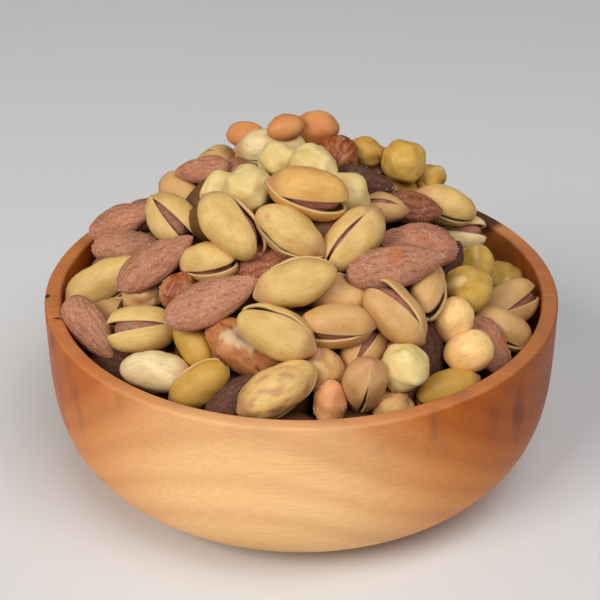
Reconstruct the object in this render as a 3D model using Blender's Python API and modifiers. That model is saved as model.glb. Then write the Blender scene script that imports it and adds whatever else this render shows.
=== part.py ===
"""A turned wooden bowl heaped with mixed nuts.

Metres, +Z up. The origin is on the table under the middle of the bowl's foot, and the side
that is seen faces -Y.
"""
import math
import random

import bmesh
import bpy
import numpy as np
from mathutils import Matrix, Vector

MM = 0.001

# Bowl
BOWL_HEIGHT = 57.0 * MM
RIM_RADIUS = 75.0 * MM
RIM_WIDTH = 4.8 * MM
FOOT_RADIUS = 35.0 * MM
FLOOR_THICKNESS = 7.5 * MM
INNER_FLOOR_RADIUS = 28.0 * MM
RIM_ROUNDING = 0.9 * MM
MOUTH_RADIUS = RIM_RADIUS - RIM_WIDTH
SIDE_POWER = 0.966
RISE_POWER = 0.44
PROFILE_STEPS = 9
TURN_STEPS = 48
SAME_POINT = 0.01 * MM
WOOD_COLOUR = (0.58, 0.29, 0.12)
WOOD_ROUGHNESS = 0.4

# Heap
HEAP_PEAK = 50.0 * MM
HEAP_POWER = 1.7
HOLLOW_PLACE = (54.0 * MM, 40.0 * MM)
HOLLOW_DEPTH = 9.0 * MM
HOLLOW_SPREAD = 15.0 * MM
CORE_DEPTH = 14.5 * MM
CORE_RINGS = 5
CORE_STEPS = TURN_STEPS // 2
SHARP_ANGLE = math.radians(50.0)
GAP = 0.45 * MM
SHELL_COLOUR = (0.62, 0.42, 0.20)
SHELL_ROUGHNESS = 0.5

# Eye from which the nuts in view were placed, and the picture's plane
EYE_ELEVATION = math.radians(30.0)
EYE_DISTANCE = 450.0 * MM
EYE_AIM = np.array([-0.4 * MM, 0.0, BOWL_HEIGHT - 5.7 * MM])
EYE_FORWARD = np.array([0.0, math.cos(EYE_ELEVATION), -math.sin(EYE_ELEVATION)])
EYE_RIGHT = np.array([1.0, 0.0, 0.0])
EYE_UP = np.array([0.0, math.sin(EYE_ELEVATION), math.cos(EYE_ELEVATION)])
EYE_PLACE = EYE_AIM - EYE_DISTANCE * EYE_FORWARD
PICTURE_MIDDLE = 300.0
PICTURE_FOCAL = 1517.0
SIGHT_NEAR = 300.0 * MM
SIGHT_FAR = 600.0 * MM
SIGHT_STEP = 0.5 * MM
OUTWARD_SHARE = 0.55
TILT_LIMIT = 1.2

# Nuts: length, width and height of an average one of each kind
PISTACHIO = "pistachio"
ALMOND = "almond"
BLANCHED = "blanched hazelnut"
SKIN_ON = "hazelnut in its skin"
PEANUT = "roasted peanut"
CHICKPEA = "roasted chickpea"
NUT_SIZE = {
    PISTACHIO: (21.0 * MM, 12.4 * MM, 11.6 * MM),
    ALMOND: (24.0 * MM, 12.8 * MM, 8.6 * MM),
    BLANCHED: (13.0 * MM, 12.6 * MM, 12.2 * MM),
    SKIN_ON: (14.5 * MM, 13.0 * MM, 12.6 * MM),
    PEANUT: (15.0 * MM, 10.5 * MM, 10.0 * MM),
    CHICKPEA: (11.5 * MM, 10.0 * MM, 10.0 * MM),
}
NUT_SIDES = 10
FILLER_SIDES = 7
NUT_RINGS = 5

# Pistachio: one end narrower, a split shell with lips along its seam and the kernel between them
EGG_TAPER = 0.10
LIP_WIDTH = 0.9 * MM
LIP_RISE = 0.12
HINGE_PLACE = 0.8
SEAM_DIP = 0.35

# Almond: blunt at one end and pointed at the other
ALMOND_TAPER = 0.26
ALMOND_POINT = 0.12
ALMOND_WIDENING = 1.06

# Round nuts: low lumps
LUMP_SHARE = 0.05
LUMPS_AROUND = 3.0
LUMPS_ALONG = 4.0

# Nuts of the hidden back, which fill what those in view leave free
SEED = 12
FILLER_KINDS = (PISTACHIO, ALMOND, PISTACHIO, BLANCHED, PISTACHIO, ALMOND, CHICKPEA, SKIN_ON)
FILLER_TRIES = 700
FILLER_SPACING = 11.6 * MM
FILLER_DISTANCE = 11.0 * MM
FILLER_DEPTH = 6.5 * MM
FILLER_EDGE = 0.95
FILLER_FACING = 0.05
FILLER_ROLL = 90.0
FILLER_PITCH = 15.0
FILLER_GAP = (3.0, 12.0)
FILLER_SIZE = (0.9, 1.1)

# Settling: each nut stands as a few balls, which are pushed apart
SETTLE_ROUNDS = 300
SETTLE_RATE = 0.35
HOMING = 0.03
SINKING = 0.03 * MM
BOWL_PUSH = 2.0
SIGHT_LIMIT = 9.0 * MM
SIDEWAYS_LIMIT = 1.6 * MM
FILLER_LIMIT = 9.0 * MM
BEDDING = 4.5 * MM
LONG_NUT = 1.25
BROAD_NUT = 0.1
BALL_TAPER = 0.72
REST_STEPS = 40
REST_STEP = 0.2 * MM
REST_OVERLAP = 0.6 * MM
CLEAR_ROUNDS = 6
CLEAR_EXTRA = 0.05 * MM


def seen(kind, column, row, turn, roll=0, pitch=0, size=1.0, long=1.0, depth=6.0, gap=0):
    """One nut in view: its middle in the 600-pixel picture, the angle of its tip there, its roll
    and pitch in degrees, its size against the average, what its length is multiplied by, the depth
    of its middle under the heap's outer surface in millimetres, and the angle between the halves
    of its shell."""
    return {"kind": kind, "column": column, "row": row, "turn": turn, "roll": roll, "pitch": pitch,
            "size": size, "long": long, "depth": depth * MM, "gap": gap}


NUTS_IN_VIEW = [
    seen(PISTACHIO, column=166, row=213, turn=-48, pitch=5, size=0.98, gap=10),
    seen(PISTACHIO, column=229, row=229, turn=-47, roll=-55, size=1.12, depth=5, gap=10),
    seen(PISTACHIO, column=182, row=191, turn=-40, roll=-60, size=0.95, depth=11, gap=8),
    seen(ALMOND, column=119, row=239, turn=4, size=0.83, long=1.2, depth=5),
    seen(ALMOND, column=95, row=256, turn=48, roll=10, size=0.9, depth=4.5),
    seen(ALMOND, column=119, row=222, turn=22, size=0.95, depth=9),
    seen(ALMOND, column=156, row=264, turn=35, roll=10, size=0.87, long=1.2, depth=5),
    seen(PISTACHIO, column=209, row=257, turn=-8, roll=50, pitch=25, size=0.9, depth=7, gap=5),
    seen(SKIN_ON, column=179, row=285, turn=60, size=0.8, depth=8),
    seen(CHICKPEA, column=138, row=293, turn=10, size=1.05, depth=8),
    seen(ALMOND, column=214, row=305, turn=24, size=0.95, long=1.2, depth=4.5),
    seen(PISTACHIO, column=93, row=280, turn=29, roll=95, size=1.0, long=1.22, depth=5, gap=3),
    seen(ALMOND, column=84, row=330, turn=-53, size=0.85, long=1.2, depth=4),
    seen(PISTACHIO, column=106, row=316, turn=20, roll=-60, size=0.9, depth=12, gap=10),
    seen(PISTACHIO, column=143, row=327, turn=188, pitch=20, size=0.95, gap=11),
    seen(PISTACHIO, column=157, row=374, turn=172, roll=85, pitch=5, size=0.93, gap=3),
    seen(PISTACHIO, column=199, row=384, turn=35, roll=-70, pitch=10, size=0.9, depth=9, gap=6),
    seen(ALMOND, column=118, row=364, turn=-35, size=0.85, depth=12),
    seen(ALMOND, column=231, row=392, turn=45, size=0.8, depth=10),
    seen(PISTACHIO, column=190, row=344, turn=-60, roll=90, size=0.8, depth=13, gap=4),
    seen(SKIN_ON, column=242, row=350, turn=-27, size=1.1, long=1.42, depth=9),
    seen(PISTACHIO, column=280, row=386, turn=31, roll=90, size=1.06, depth=4, gap=3),
    seen(PISTACHIO, column=289, row=230, turn=147, roll=-65, gap=5),
    seen(PISTACHIO, column=309, row=193, turn=-15, roll=50, size=1.08, depth=4, gap=10),
    seen(PISTACHIO, column=355, row=232, turn=226, roll=20, size=1.05, depth=5, gap=3),
    seen(PISTACHIO, column=297, row=281, turn=19, roll=-60, size=1.05, depth=4.5, gap=6),
    seen(PISTACHIO, column=277, row=330, turn=153, roll=50, size=1.03, depth=4.5, gap=8),
    seen(PISTACHIO, column=341, row=296, turn=-14, roll=-60, depth=10, gap=4),
    seen(PISTACHIO, column=393, row=313, turn=131, roll=20, size=0.98, depth=5, gap=12),
    seen(PISTACHIO, column=335, row=332, turn=182, roll=-45, size=0.92, depth=8, gap=9),
    seen(ALMOND, column=424, row=238, turn=174, size=1.02),
    seen(ALMOND, column=398, row=265, turn=12, size=0.92, long=1.28, depth=3),
    seen(ALMOND, column=416, row=206, turn=-8, size=0.85, long=0.95, depth=8),
    seen(PISTACHIO, column=434, row=293, turn=260, roll=-50, pitch=25, size=0.9, depth=7, gap=9),
    seen(BLANCHED, column=474, row=286, turn=0, size=1.08),
    seen(BLANCHED, column=478, row=261, turn=0, size=0.9, depth=9),
    seen(BLANCHED, column=520, row=271, turn=-10, size=1.05, long=1.1, depth=5),
    seen(PISTACHIO, column=516, row=304, turn=30, roll=15, size=0.97, depth=7, gap=11),
    seen(PEANUT, column=456, row=318, turn=75, size=1.05, long=0.85),
    seen(PISTACHIO, column=503, row=327, turn=155, roll=-60, size=0.92, depth=9, gap=6),
    seen(PEANUT, column=469, row=351, turn=20, size=1.08, long=0.88, depth=5),
    seen(ALMOND, column=493, row=347, turn=-60, roll=20, size=0.85, depth=9),
    seen(BLANCHED, column=405, row=369, turn=0, size=1.02, depth=3),
    seen(PISTACHIO, column=368, row=387, turn=-95, roll=0, pitch=-62, size=0.95, gap=2),
    seen(PISTACHIO, column=449, row=384, turn=200, roll=-70, size=0.86, depth=8, gap=6),
    seen(CHICKPEA, column=392, row=403, turn=0, size=1.05, depth=9),
    seen(PEANUT, column=334, row=398, turn=95, pitch=30, size=0.85, depth=7),
    seen(CHICKPEA, column=327, row=368, turn=100, size=1.2, depth=11),
    seen(ALMOND, column=431, row=340, turn=95, roll=30, size=0.85, depth=12),
    seen(PISTACHIO, column=366, row=345, turn=60, size=0.8, depth=11, gap=12),
    seen(SKIN_ON, column=387, row=356, turn=0, size=0.7, depth=15),
    seen(ALMOND, column=268, row=259, turn=15, size=0.9, depth=12),
    seen(BLANCHED, column=278, row=151, turn=0, size=0.92),
    seen(BLANCHED, column=312, row=160, turn=-15, size=0.97, long=1.1),
    seen(BLANCHED, column=246, row=185, turn=60, size=1.15),
    seen(BLANCHED, column=214, row=180, turn=30, size=0.78, long=1.25, depth=7),
    seen(ALMOND, column=198, row=166, turn=185, size=0.76, depth=7),
    seen(PEANUT, column=246, row=138, turn=0, size=0.8, depth=7),
    seen(PISTACHIO, column=272, row=143, turn=2, roll=90, size=0.95, depth=10, gap=3),
    seen(PEANUT, column=283, row=131, turn=20, size=0.75, depth=8),
    seen(PEANUT, column=316, row=131, turn=0, size=0.95, depth=8),
    seen(SKIN_ON, column=340, row=145, turn=60, size=0.93),
    seen(ALMOND, column=242, row=158, turn=10, size=0.7, depth=11),
    seen(BLANCHED, column=351, row=191, turn=-50, depth=8),
    seen(ALMOND, column=363, row=179, turn=-10, size=0.78, depth=8),
    seen(CHICKPEA, column=373, row=151, turn=0, size=0.95, depth=8),
    seen(BLANCHED, column=400, row=163, turn=80, size=1.05, depth=7),
    seen(CHICKPEA, column=430, row=182, turn=0, size=0.85, depth=9),
    seen(PISTACHIO, column=448, row=198, turn=-22, roll=80, size=0.9, depth=9, gap=4),
    seen(PISTACHIO, column=398, row=189, turn=0, roll=80, size=0.85, depth=12, gap=4),
    seen(PISTACHIO, column=385, row=203, turn=170, size=0.65, depth=11, gap=8),
    seen(PISTACHIO, column=463, row=229, turn=-20, roll=20, pitch=35, size=0.75, depth=7, gap=14),
    seen(ALMOND, column=451, row=259, turn=60, size=0.65, depth=11),
]


def new_material(name, colour, roughness):
    """Return a Principled material of one colour."""
    material = bpy.data.materials.new(name)
    material.use_nodes = True
    shader = material.node_tree.nodes["Principled BSDF"]
    shader.inputs["Base Color"].default_value = (*colour, 1.0)
    shader.inputs["Roughness"].default_value = roughness
    return material


def new_collection(name):
    """Return a new collection under the scene."""
    collection = bpy.data.collections.new(name)
    bpy.context.scene.collection.children.link(collection)
    return collection


def side_curve(step, low_radius, high_radius, low_z, high_z):
    """Return (radius, z) on the bowl's side, from the floor at step 0 to the rim at step 1."""
    angle = 0.5 * math.pi * step
    radius = low_radius + (high_radius - low_radius) * math.sin(angle) ** SIDE_POWER
    height = low_z + (high_z - low_z) * (1.0 - max(math.cos(angle), 0.0) ** RISE_POWER)
    return radius, height


def wall_radius(z, margin):
    """Return the radius of the bowl's hollow at height z, less a margin."""
    rise = min(max((z - FLOOR_THICKNESS) / (BOWL_HEIGHT - FLOOR_THICKNESS), 0.0), 1.0)
    cosine = (1.0 - rise) ** (1.0 / RISE_POWER)
    sine = math.sqrt(1.0 - cosine * cosine)
    return INNER_FLOOR_RADIUS + (MOUTH_RADIUS - INNER_FLOOR_RADIUS) * sine ** SIDE_POWER - margin


def turned(name, profile, steps, collection, material):
    """Return an object turned about Z from a profile that runs down its outer side."""
    mesh = bpy.data.meshes.new(name)
    points = [(radius, 0.0, z) for radius, z in profile]
    edges = [(i, i + 1) for i in range(len(points) - 1)]
    mesh.from_pydata(points, edges, [])
    mesh.materials.append(material)
    turned_object = bpy.data.objects.new(name, mesh)
    collection.objects.link(turned_object)
    screw = turned_object.modifiers.new("Turning", "SCREW")
    screw.axis = "Z"
    screw.angle = 2.0 * math.pi
    screw.steps = steps
    screw.render_steps = steps
    screw.use_merge_vertices = True
    screw.merge_threshold = SAME_POINT
    screw.use_smooth_shade = True
    return turned_object


def applied(source):
    """Replace an object's mesh by its evaluated one and drop its modifiers."""
    depsgraph = bpy.context.evaluated_depsgraph_get()
    mesh = bpy.data.meshes.new_from_object(source.evaluated_get(depsgraph))
    source.modifiers.clear()
    source.data = mesh
    return source


def make_bowl(collection):
    """Turn the bowl: round side, flat foot, thick floor and a narrow flat rim with eased edges."""
    outer = [side_curve(i / PROFILE_STEPS, FOOT_RADIUS, RIM_RADIUS, 0.0, BOWL_HEIGHT)
             for i in range(PROFILE_STEPS)]
    inner = [side_curve(i / PROFILE_STEPS, INNER_FLOOR_RADIUS, MOUTH_RADIUS, FLOOR_THICKNESS, BOWL_HEIGHT)
             for i in range(PROFILE_STEPS)]
    rim = [
        (MOUTH_RADIUS, BOWL_HEIGHT - RIM_ROUNDING),
        (MOUTH_RADIUS + RIM_ROUNDING, BOWL_HEIGHT),
        (RIM_RADIUS - RIM_ROUNDING, BOWL_HEIGHT),
        (RIM_RADIUS, BOWL_HEIGHT - RIM_ROUNDING),
    ]
    profile = [(0.0, FLOOR_THICKNESS)] + inner + rim + outer[::-1] + [(0.0, 0.0)]
    wood = new_material("Oiled wood", WOOD_COLOUR, WOOD_ROUGHNESS)
    return turned("bowl", profile, TURN_STEPS, collection, wood)


def hollow(x, y):
    """Return how far the heap sags at its back right, where the bowl's inner wall shows."""
    away = math.hypot(x - HOLLOW_PLACE[0], y - HOLLOW_PLACE[1])
    return HOLLOW_DEPTH * math.exp(-0.5 * (away / HOLLOW_SPREAD) ** 2)


def heap_height(x, y):
    """Return the height of the heap's outer surface over a point of the plan."""
    share = min(math.hypot(x, y) / MOUTH_RADIUS, 1.0)
    return BOWL_HEIGHT + HEAP_PEAK * (1.0 - share ** HEAP_POWER) - hollow(x, y)


def heap_normal(x, y):
    """Return the outward direction of the heap's surface, its sag left out."""
    radius = max(math.hypot(x, y), SAME_POINT)
    share = min(radius / MOUTH_RADIUS, 1.0)
    slope = HEAP_PEAK * HEAP_POWER * share ** (HEAP_POWER - 1.0) / MOUTH_RADIUS
    normal = np.array([slope * x / radius, slope * y / radius, 1.0])
    return normal / np.linalg.norm(normal)


def sight_line(column, row):
    """Return the direction from the eye through a place in the picture."""
    across = EYE_RIGHT * (column - PICTURE_MIDDLE) + EYE_UP * (PICTURE_MIDDLE - row)
    direction = EYE_FORWARD * PICTURE_FOCAL + across
    return direction / np.linalg.norm(direction)


def place_under_surface(column, row, depth):
    """Return where the sight line first comes to a depth under the heap's surface, or nearest it."""
    direction = sight_line(column, row)
    best_place = EYE_PLACE
    best_miss = math.inf
    for along in np.arange(SIGHT_NEAR, SIGHT_FAR, SIGHT_STEP):
        place = EYE_PLACE + along * direction
        height = place[2] - heap_height(place[0], place[1])
        miss = height * heap_normal(place[0], place[1])[2] + depth
        if miss < best_miss:
            best_place = place
            best_miss = miss
        if miss <= 0.0 or miss > best_miss + SIGHT_STEP:
            break
    return best_place


def turned_axes(along, outward, roll, pitch):
    """Return a nut's axes as columns: tip along X, broad faces on Z, after its pitch and roll."""
    x_axis = along / np.linalg.norm(along)
    z_axis = outward - x_axis * (outward @ x_axis)
    z_axis /= np.linalg.norm(z_axis)
    lift = math.radians(pitch)
    x_axis, z_axis = (math.cos(lift) * x_axis + math.sin(lift) * z_axis,
                      math.cos(lift) * z_axis - math.sin(lift) * x_axis)
    y_axis = np.cross(z_axis, x_axis)
    spin = math.radians(roll)
    y_turned = math.cos(spin) * y_axis + math.sin(spin) * z_axis
    z_turned = math.cos(spin) * z_axis - math.sin(spin) * y_axis
    return np.column_stack([x_axis, y_turned, z_turned])


def new_nut(kind, size, long, gap, place, axes, inward, sight):
    """Return a nut with its own length, width and height, its place and how it may move."""
    length, width, height = (size * side for side in NUT_SIZE[kind])
    return {"kind": kind, "sides": (length * long, width, height), "gap": gap, "place": place,
            "home": place.copy(), "axes": axes, "inward": inward, "sight": sight}


def nut_in_view(entry):
    """Place one nut in view, so that it shows at its place and angle in the picture."""
    place = place_under_surface(entry["column"], entry["row"], entry["depth"])
    direction = sight_line(entry["column"], entry["row"])
    normal = heap_normal(place[0], place[1])
    outward = OUTWARD_SHARE * normal - (1.0 - OUTWARD_SHARE) * direction
    outward /= np.linalg.norm(outward)
    turn = math.radians(entry["turn"])
    flat = math.cos(turn) * EYE_RIGHT + math.sin(turn) * EYE_UP
    tilt = -(flat @ outward) / (direction @ outward)
    tilt = min(max(tilt, -TILT_LIMIT), TILT_LIMIT)
    axes = turned_axes(flat + tilt * direction, outward, entry["roll"], entry["pitch"])
    return new_nut(entry["kind"], entry["size"], entry["long"], entry["gap"], place, axes, -normal,
                   direction)


def filler_nuts(placed):
    """Return seeded nuts, spread by the golden angle, where those already placed leave room."""
    draw = random.Random(SEED)
    golden = math.pi * (3.0 - math.sqrt(5.0))
    fillers = []
    for number in range(FILLER_TRIES):
        radius = MOUTH_RADIUS * FILLER_EDGE * math.sqrt((number + 0.5) / FILLER_TRIES)
        x = radius * math.cos(number * golden)
        y = radius * math.sin(number * golden)
        outward = heap_normal(x, y)
        if outward @ -EYE_FORWARD > FILLER_FACING:
            continue
        place = np.array([x, y, heap_height(x, y)]) - FILLER_DEPTH * outward
        if any(np.linalg.norm(place - other["place"]) < FILLER_DISTANCE for other in placed):
            continue
        if any(np.linalg.norm(place - other["place"]) < FILLER_SPACING for other in fillers):
            continue
        kind = FILLER_KINDS[len(fillers) % len(FILLER_KINDS)]
        heading = draw.uniform(0.0, 2.0 * math.pi)
        along = np.array([math.cos(heading), math.sin(heading), 0.0])
        roll = draw.uniform(-FILLER_ROLL, FILLER_ROLL)
        pitch = draw.uniform(-FILLER_PITCH, FILLER_PITCH)
        axes = turned_axes(along - outward * (along @ outward), outward, roll, pitch)
        gap = draw.uniform(*FILLER_GAP)
        size = draw.uniform(*FILLER_SIZE)
        fillers.append(new_nut(kind, size, 1.0, gap, place, axes, -outward, None))
    return fillers


def balls_of(nut):
    """Return the middles and radii of the balls that stand for a nut while the heap settles."""
    length, width, height = nut["sides"]
    thick = 0.5 * min(width, height)
    if length < LONG_NUT * max(width, height):
        return [((0.0, 0.0, 0.0), (length + width + height) / 6.0)]
    end = BALL_TAPER * thick
    side = 0.5 * width - thick
    balls = [((0.5 * length - end, 0.0, 0.0), end), ((end - 0.5 * length, 0.0, 0.0), end)]
    if side > BROAD_NUT * thick:
        balls += [((0.0, side, 0.0), thick), ((0.0, -side, 0.0), thick)]
    else:
        balls.append(((0.0, 0.0, 0.0), 0.25 * (width + height)))
    return balls


def push_off_core(place, radius):
    """Return the move that lifts a ball out of the core, apart from the little it beds in."""
    normal = heap_normal(place[0], place[1])
    clear = (place[2] - heap_height(place[0], place[1])) * normal[2] + CORE_DEPTH
    return normal * max(radius - BEDDING - clear, 0.0)


def push_off_bowl(place, radius):
    """Return the move that takes a ball clear of the bowl's wall and rim."""
    away = math.hypot(place[0], place[1])
    if place[2] > BOWL_HEIGHT:
        nearest = max(away, MOUTH_RADIUS)
        offset = np.array([away - nearest, place[2] - BOWL_HEIGHT])
    else:
        offset = np.array([away - wall_radius(place[2], 0.0), 0.0])
        if offset[0] >= 0.0:
            return np.array([-place[0], -place[1], 0.0]) / away * (offset[0] + radius + GAP)
    distance = np.linalg.norm(offset)
    short = radius + GAP - distance
    if short <= 0.0:
        return np.zeros(3)
    offset = offset / distance * short
    return np.array([offset[0] * place[0] / away, offset[0] * place[1] / away, offset[1]])


def shortened(move, limit):
    """Return a move, cut down to a limit."""
    length = np.linalg.norm(move)
    return move * (limit / length) if length > limit else move


def limited(move, sight):
    """Return a nut's move from home, kept small across the sight line if the nut is in view."""
    if sight is None:
        return shortened(move, FILLER_LIMIT)
    ahead = (move @ sight) * sight
    return shortened(ahead, SIGHT_LIMIT) + shortened(move - ahead, SIDEWAYS_LIMIT)


def settle(nuts):
    """Push overlapping nuts apart. Those in view move mainly along their own sight line."""
    owners = []
    offsets = []
    radii = []
    for index, nut in enumerate(nuts):
        for middle, radius in balls_of(nut):
            owners.append(index)
            offsets.append(nut["axes"] @ np.array(middle))
            radii.append(radius)
    owners = np.array(owners)
    offsets = np.array(offsets)
    radii = np.array(radii)
    sinking = SINKING * np.array([nut["inward"] for nut in nuts])
    homes = np.array([nut["home"] for nut in nuts])
    places = homes.copy()
    strangers = owners[:, None] != owners[None, :]
    reach = radii[:, None] + radii[None, :]
    for _ in range(SETTLE_ROUNDS):
        balls = places[owners] + offsets
        between = balls[:, None, :] - balls[None, :, :]
        distance = np.linalg.norm(between, axis=2) + 1e-9
        overlap = np.where(strangers, np.maximum(reach - distance, 0.0), 0.0)
        pushes = (between / distance[:, :, None] * overlap[:, :, None]).sum(axis=1)
        for number, ball in enumerate(balls):
            pushes[number] += BOWL_PUSH * push_off_bowl(ball, radii[number])
            pushes[number] += push_off_core(ball, radii[number])
        moves = np.zeros_like(places)
        np.add.at(moves, owners, pushes)
        places += SETTLE_RATE * moves + sinking + HOMING * (homes - places)
        for index, nut in enumerate(nuts):
            places[index] = homes[index] + limited(places[index] - homes[index], nut["sight"])
    for index, nut in enumerate(nuts):
        rest_on_others(index, places, nut["inward"], owners, offsets, radii)
    for nut, place in zip(nuts, places):
        nut["place"] = place


def rest_on_others(index, places, inward, owners, offsets, radii):
    """Move one nut inward in small steps until it touches the core or another nut."""
    own = owners == index
    for _ in range(REST_STEPS):
        balls = places[owners] + offsets
        between = np.linalg.norm(balls[own][:, None, :] - balls[~own][None, :, :], axis=2)
        gaps = between - radii[own][:, None] - radii[~own][None, :]
        bedded = any(push_off_core(ball, radius + BEDDING - REST_OVERLAP).any()
                     for ball, radius in zip(balls[own], radii[own]))
        if bedded or gaps.min() < -REST_OVERLAP:
            return
        places[index] += inward * REST_STEP


def ridge(share):
    """Return a smooth step from 0 to 1."""
    share = min(max(share, 0.0), 1.0)
    return share * share * (3.0 - 2.0 * share)


def shape_pistachio(co, half, gap):
    """Shape a unit ball's point as a split shell: egg form, lips along the seam, kernel between."""
    along = co.x
    egg = 1.0 - EGG_TAPER * along
    swing = math.tan(math.radians(0.5 * gap))
    opening = swing * half.x * (along + HINGE_PLACE) * ridge(along + 1.0)
    y = co.y * half.y * egg
    z = co.z * half.z * egg
    around = math.hypot(co.y, co.z)
    if around > 0.01:
        sideways = abs(co.y) / around
        if sideways < 0.1:
            z *= 1.0 - SEAM_DIP * ridge(along + 0.6)
            opening = 0.0
        elif sideways < 0.75:
            lips = ridge(along + 0.7)
            y = math.copysign(abs(y) * (1.0 - lips) + LIP_WIDTH * lips, y)
            z *= 1.0 + LIP_RISE * lips
    y += math.copysign(opening, co.y) if abs(co.y) > 0.001 else 0.0
    return Vector((along * half.x, y, z))


def shape_almond(co, half, gap):
    """Shape a unit ball's point as an almond: flat, blunt at one end and pointed at the other."""
    taper = 1.0 - ALMOND_TAPER * co.x - ALMOND_POINT * co.x * co.x
    return Vector((co.x * half.x, co.y * half.y * taper * ALMOND_WIDENING, co.z * half.z * taper))


def shape_round(co, half, gap):
    """Shape a unit ball's point as a lumpy round nut."""
    wave = math.sin(LUMPS_AROUND * math.atan2(co.z, co.y) + LUMPS_ALONG * co.x)
    lump = 1.0 + LUMP_SHARE * wave * (1.0 - co.x * co.x)
    return Vector((co.x * half.x, co.y * half.y * lump, co.z * half.z * lump))


def make_nut(number, nut, collection, material):
    """Model one nut with few sides and set it in its place."""
    shape = {PISTACHIO: shape_pistachio, ALMOND: shape_almond}.get(nut["kind"], shape_round)
    sides = FILLER_SIDES if nut["sight"] is None else NUT_SIDES
    half = 0.5 * Vector(nut["sides"])
    body = bmesh.new()
    bmesh.ops.create_uvsphere(body, u_segments=sides, v_segments=NUT_RINGS, radius=1.0,
                              matrix=Matrix.Rotation(0.5 * math.pi, 4, "Y"))
    for vertex in body.verts:
        vertex.co = shape(vertex.co, half, nut["gap"])
    bmesh.ops.recalc_face_normals(body, faces=body.faces)
    bmesh.ops.triangulate(body, faces=body.faces)
    mesh = bpy.data.meshes.new(f"nut_{number}")
    body.to_mesh(mesh)
    body.free()
    mesh.materials.append(material)
    nut_object = bpy.data.objects.new(f"nut_{number}", mesh)
    nut_object.matrix_world = Matrix.Translation(nut["place"]) @ Matrix(nut["axes"].tolist()).to_4x4()
    collection.objects.link(nut_object)
    return nut_object


def clear_bowl(nut_object):
    """Move a nut inward, or up where that is shorter, until none of its points is near the bowl."""
    for _ in range(CLEAR_ROUNDS):
        turn = nut_object.matrix_world
        worst = 0.0
        move = Vector((0.0, 0.0, 0.0))
        for vertex in nut_object.data.vertices:
            point = turn @ vertex.co
            away = math.hypot(point.x, point.y)
            inward = away - wall_radius(point.z, GAP)
            upward = BOWL_HEIGHT + GAP - point.z
            if min(inward, upward) <= worst:
                continue
            worst = min(inward, upward)
            if inward < upward:
                move = Vector((-point.x, -point.y, 0.0)) / away * (inward + CLEAR_EXTRA)
            else:
                move = Vector((0.0, 0.0, upward + CLEAR_EXTRA))
        if worst == 0.0:
            return
        nut_object.matrix_world = Matrix.Translation(move) @ turn


def keep_largest_body(heap):
    """Drop the loose scraps and the inner skins of sealed hollows that the union left."""
    body = bmesh.new()
    body.from_mesh(heap.data)
    unseen = set(body.faces)
    islands = []
    while unseen:
        first = unseen.pop()
        island = [first]
        queue = [first]
        while queue:
            face = queue.pop()
            for edge in face.edges:
                for neighbour in edge.link_faces:
                    if neighbour in unseen:
                        unseen.remove(neighbour)
                        island.append(neighbour)
                        queue.append(neighbour)
        islands.append(island)
    islands.sort(key=len)
    islands.pop()
    loose = [face for island in islands for face in island]
    bmesh.ops.delete(body, geom=loose, context="FACES")
    body.to_mesh(heap.data)
    body.free()


def make_core(collection, material):
    """Turn the low core: it fills the bowl's hollow and ends a nut's height under the heap's top."""
    edge = MOUTH_RADIUS - GAP
    lowest_top = BOWL_HEIGHT - CORE_DEPTH
    radii = [edge * i / CORE_RINGS for i in range(CORE_RINGS)]
    top = [(radius, heap_height(-radius, 0.0) - CORE_DEPTH) for radius in radii]
    top.append((wall_radius(lowest_top, GAP), lowest_top))
    under = [side_curve(i / PROFILE_STEPS, INNER_FLOOR_RADIUS, MOUTH_RADIUS, FLOOR_THICKNESS, BOWL_HEIGHT)
             for i in range(0, PROFILE_STEPS, 2)]
    under = [(radius - GAP, z + GAP) for radius, z in under]
    profile = top + under[::-1] + [(0.0, FLOOR_THICKNESS + GAP)]
    core = applied(turned("heap", profile, CORE_STEPS, collection, material))
    for vertex in core.data.vertices:
        if vertex.co.z > lowest_top + MM:
            vertex.co.z -= hollow(vertex.co.x, vertex.co.y)
    return core


def make_heap(collection):
    """Fuse the nuts that show on the core, and return the one solid."""
    nuts_collection = new_collection("Nuts to fuse")
    shell = new_material("Nut shell", SHELL_COLOUR, SHELL_ROUGHNESS)
    nuts = [nut_in_view(entry) for entry in NUTS_IN_VIEW]
    nuts += filler_nuts(nuts)
    settle(nuts)
    for number, nut in enumerate(nuts):
        clear_bowl(make_nut(number, nut, nuts_collection, shell))
    heap = make_core(collection, shell)
    union = heap.modifiers.new("Fuse nuts", "BOOLEAN")
    union.operation = "UNION"
    union.operand_type = "COLLECTION"
    union.collection = nuts_collection
    union.solver = "MANIFOLD"
    applied(heap)
    for nut_object in list(nuts_collection.objects):
        bpy.data.objects.remove(nut_object, do_unlink=True)
    bpy.data.collections.remove(nuts_collection)
    keep_largest_body(heap)
    heap.data.shade_smooth()
    heap.data.set_sharp_from_angle(angle=SHARP_ANGLE)
    return heap


def main():
    """Clear the scene and build the bowl and the heap."""
    for old in list(bpy.data.objects):
        bpy.data.objects.remove(old, do_unlink=True)
    collection = new_collection("Bowl of mixed nuts")
    make_bowl(collection)
    make_heap(collection)


main()
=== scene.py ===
"""Bowl of mixed nuts: the looks of a turned wooden bowl heaped with nuts.

Everything is in metres, +Z up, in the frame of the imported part. The side that is seen faces -Y.
"""
import logging
import math
import random
from dataclasses import dataclass
from enum import Enum

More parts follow.
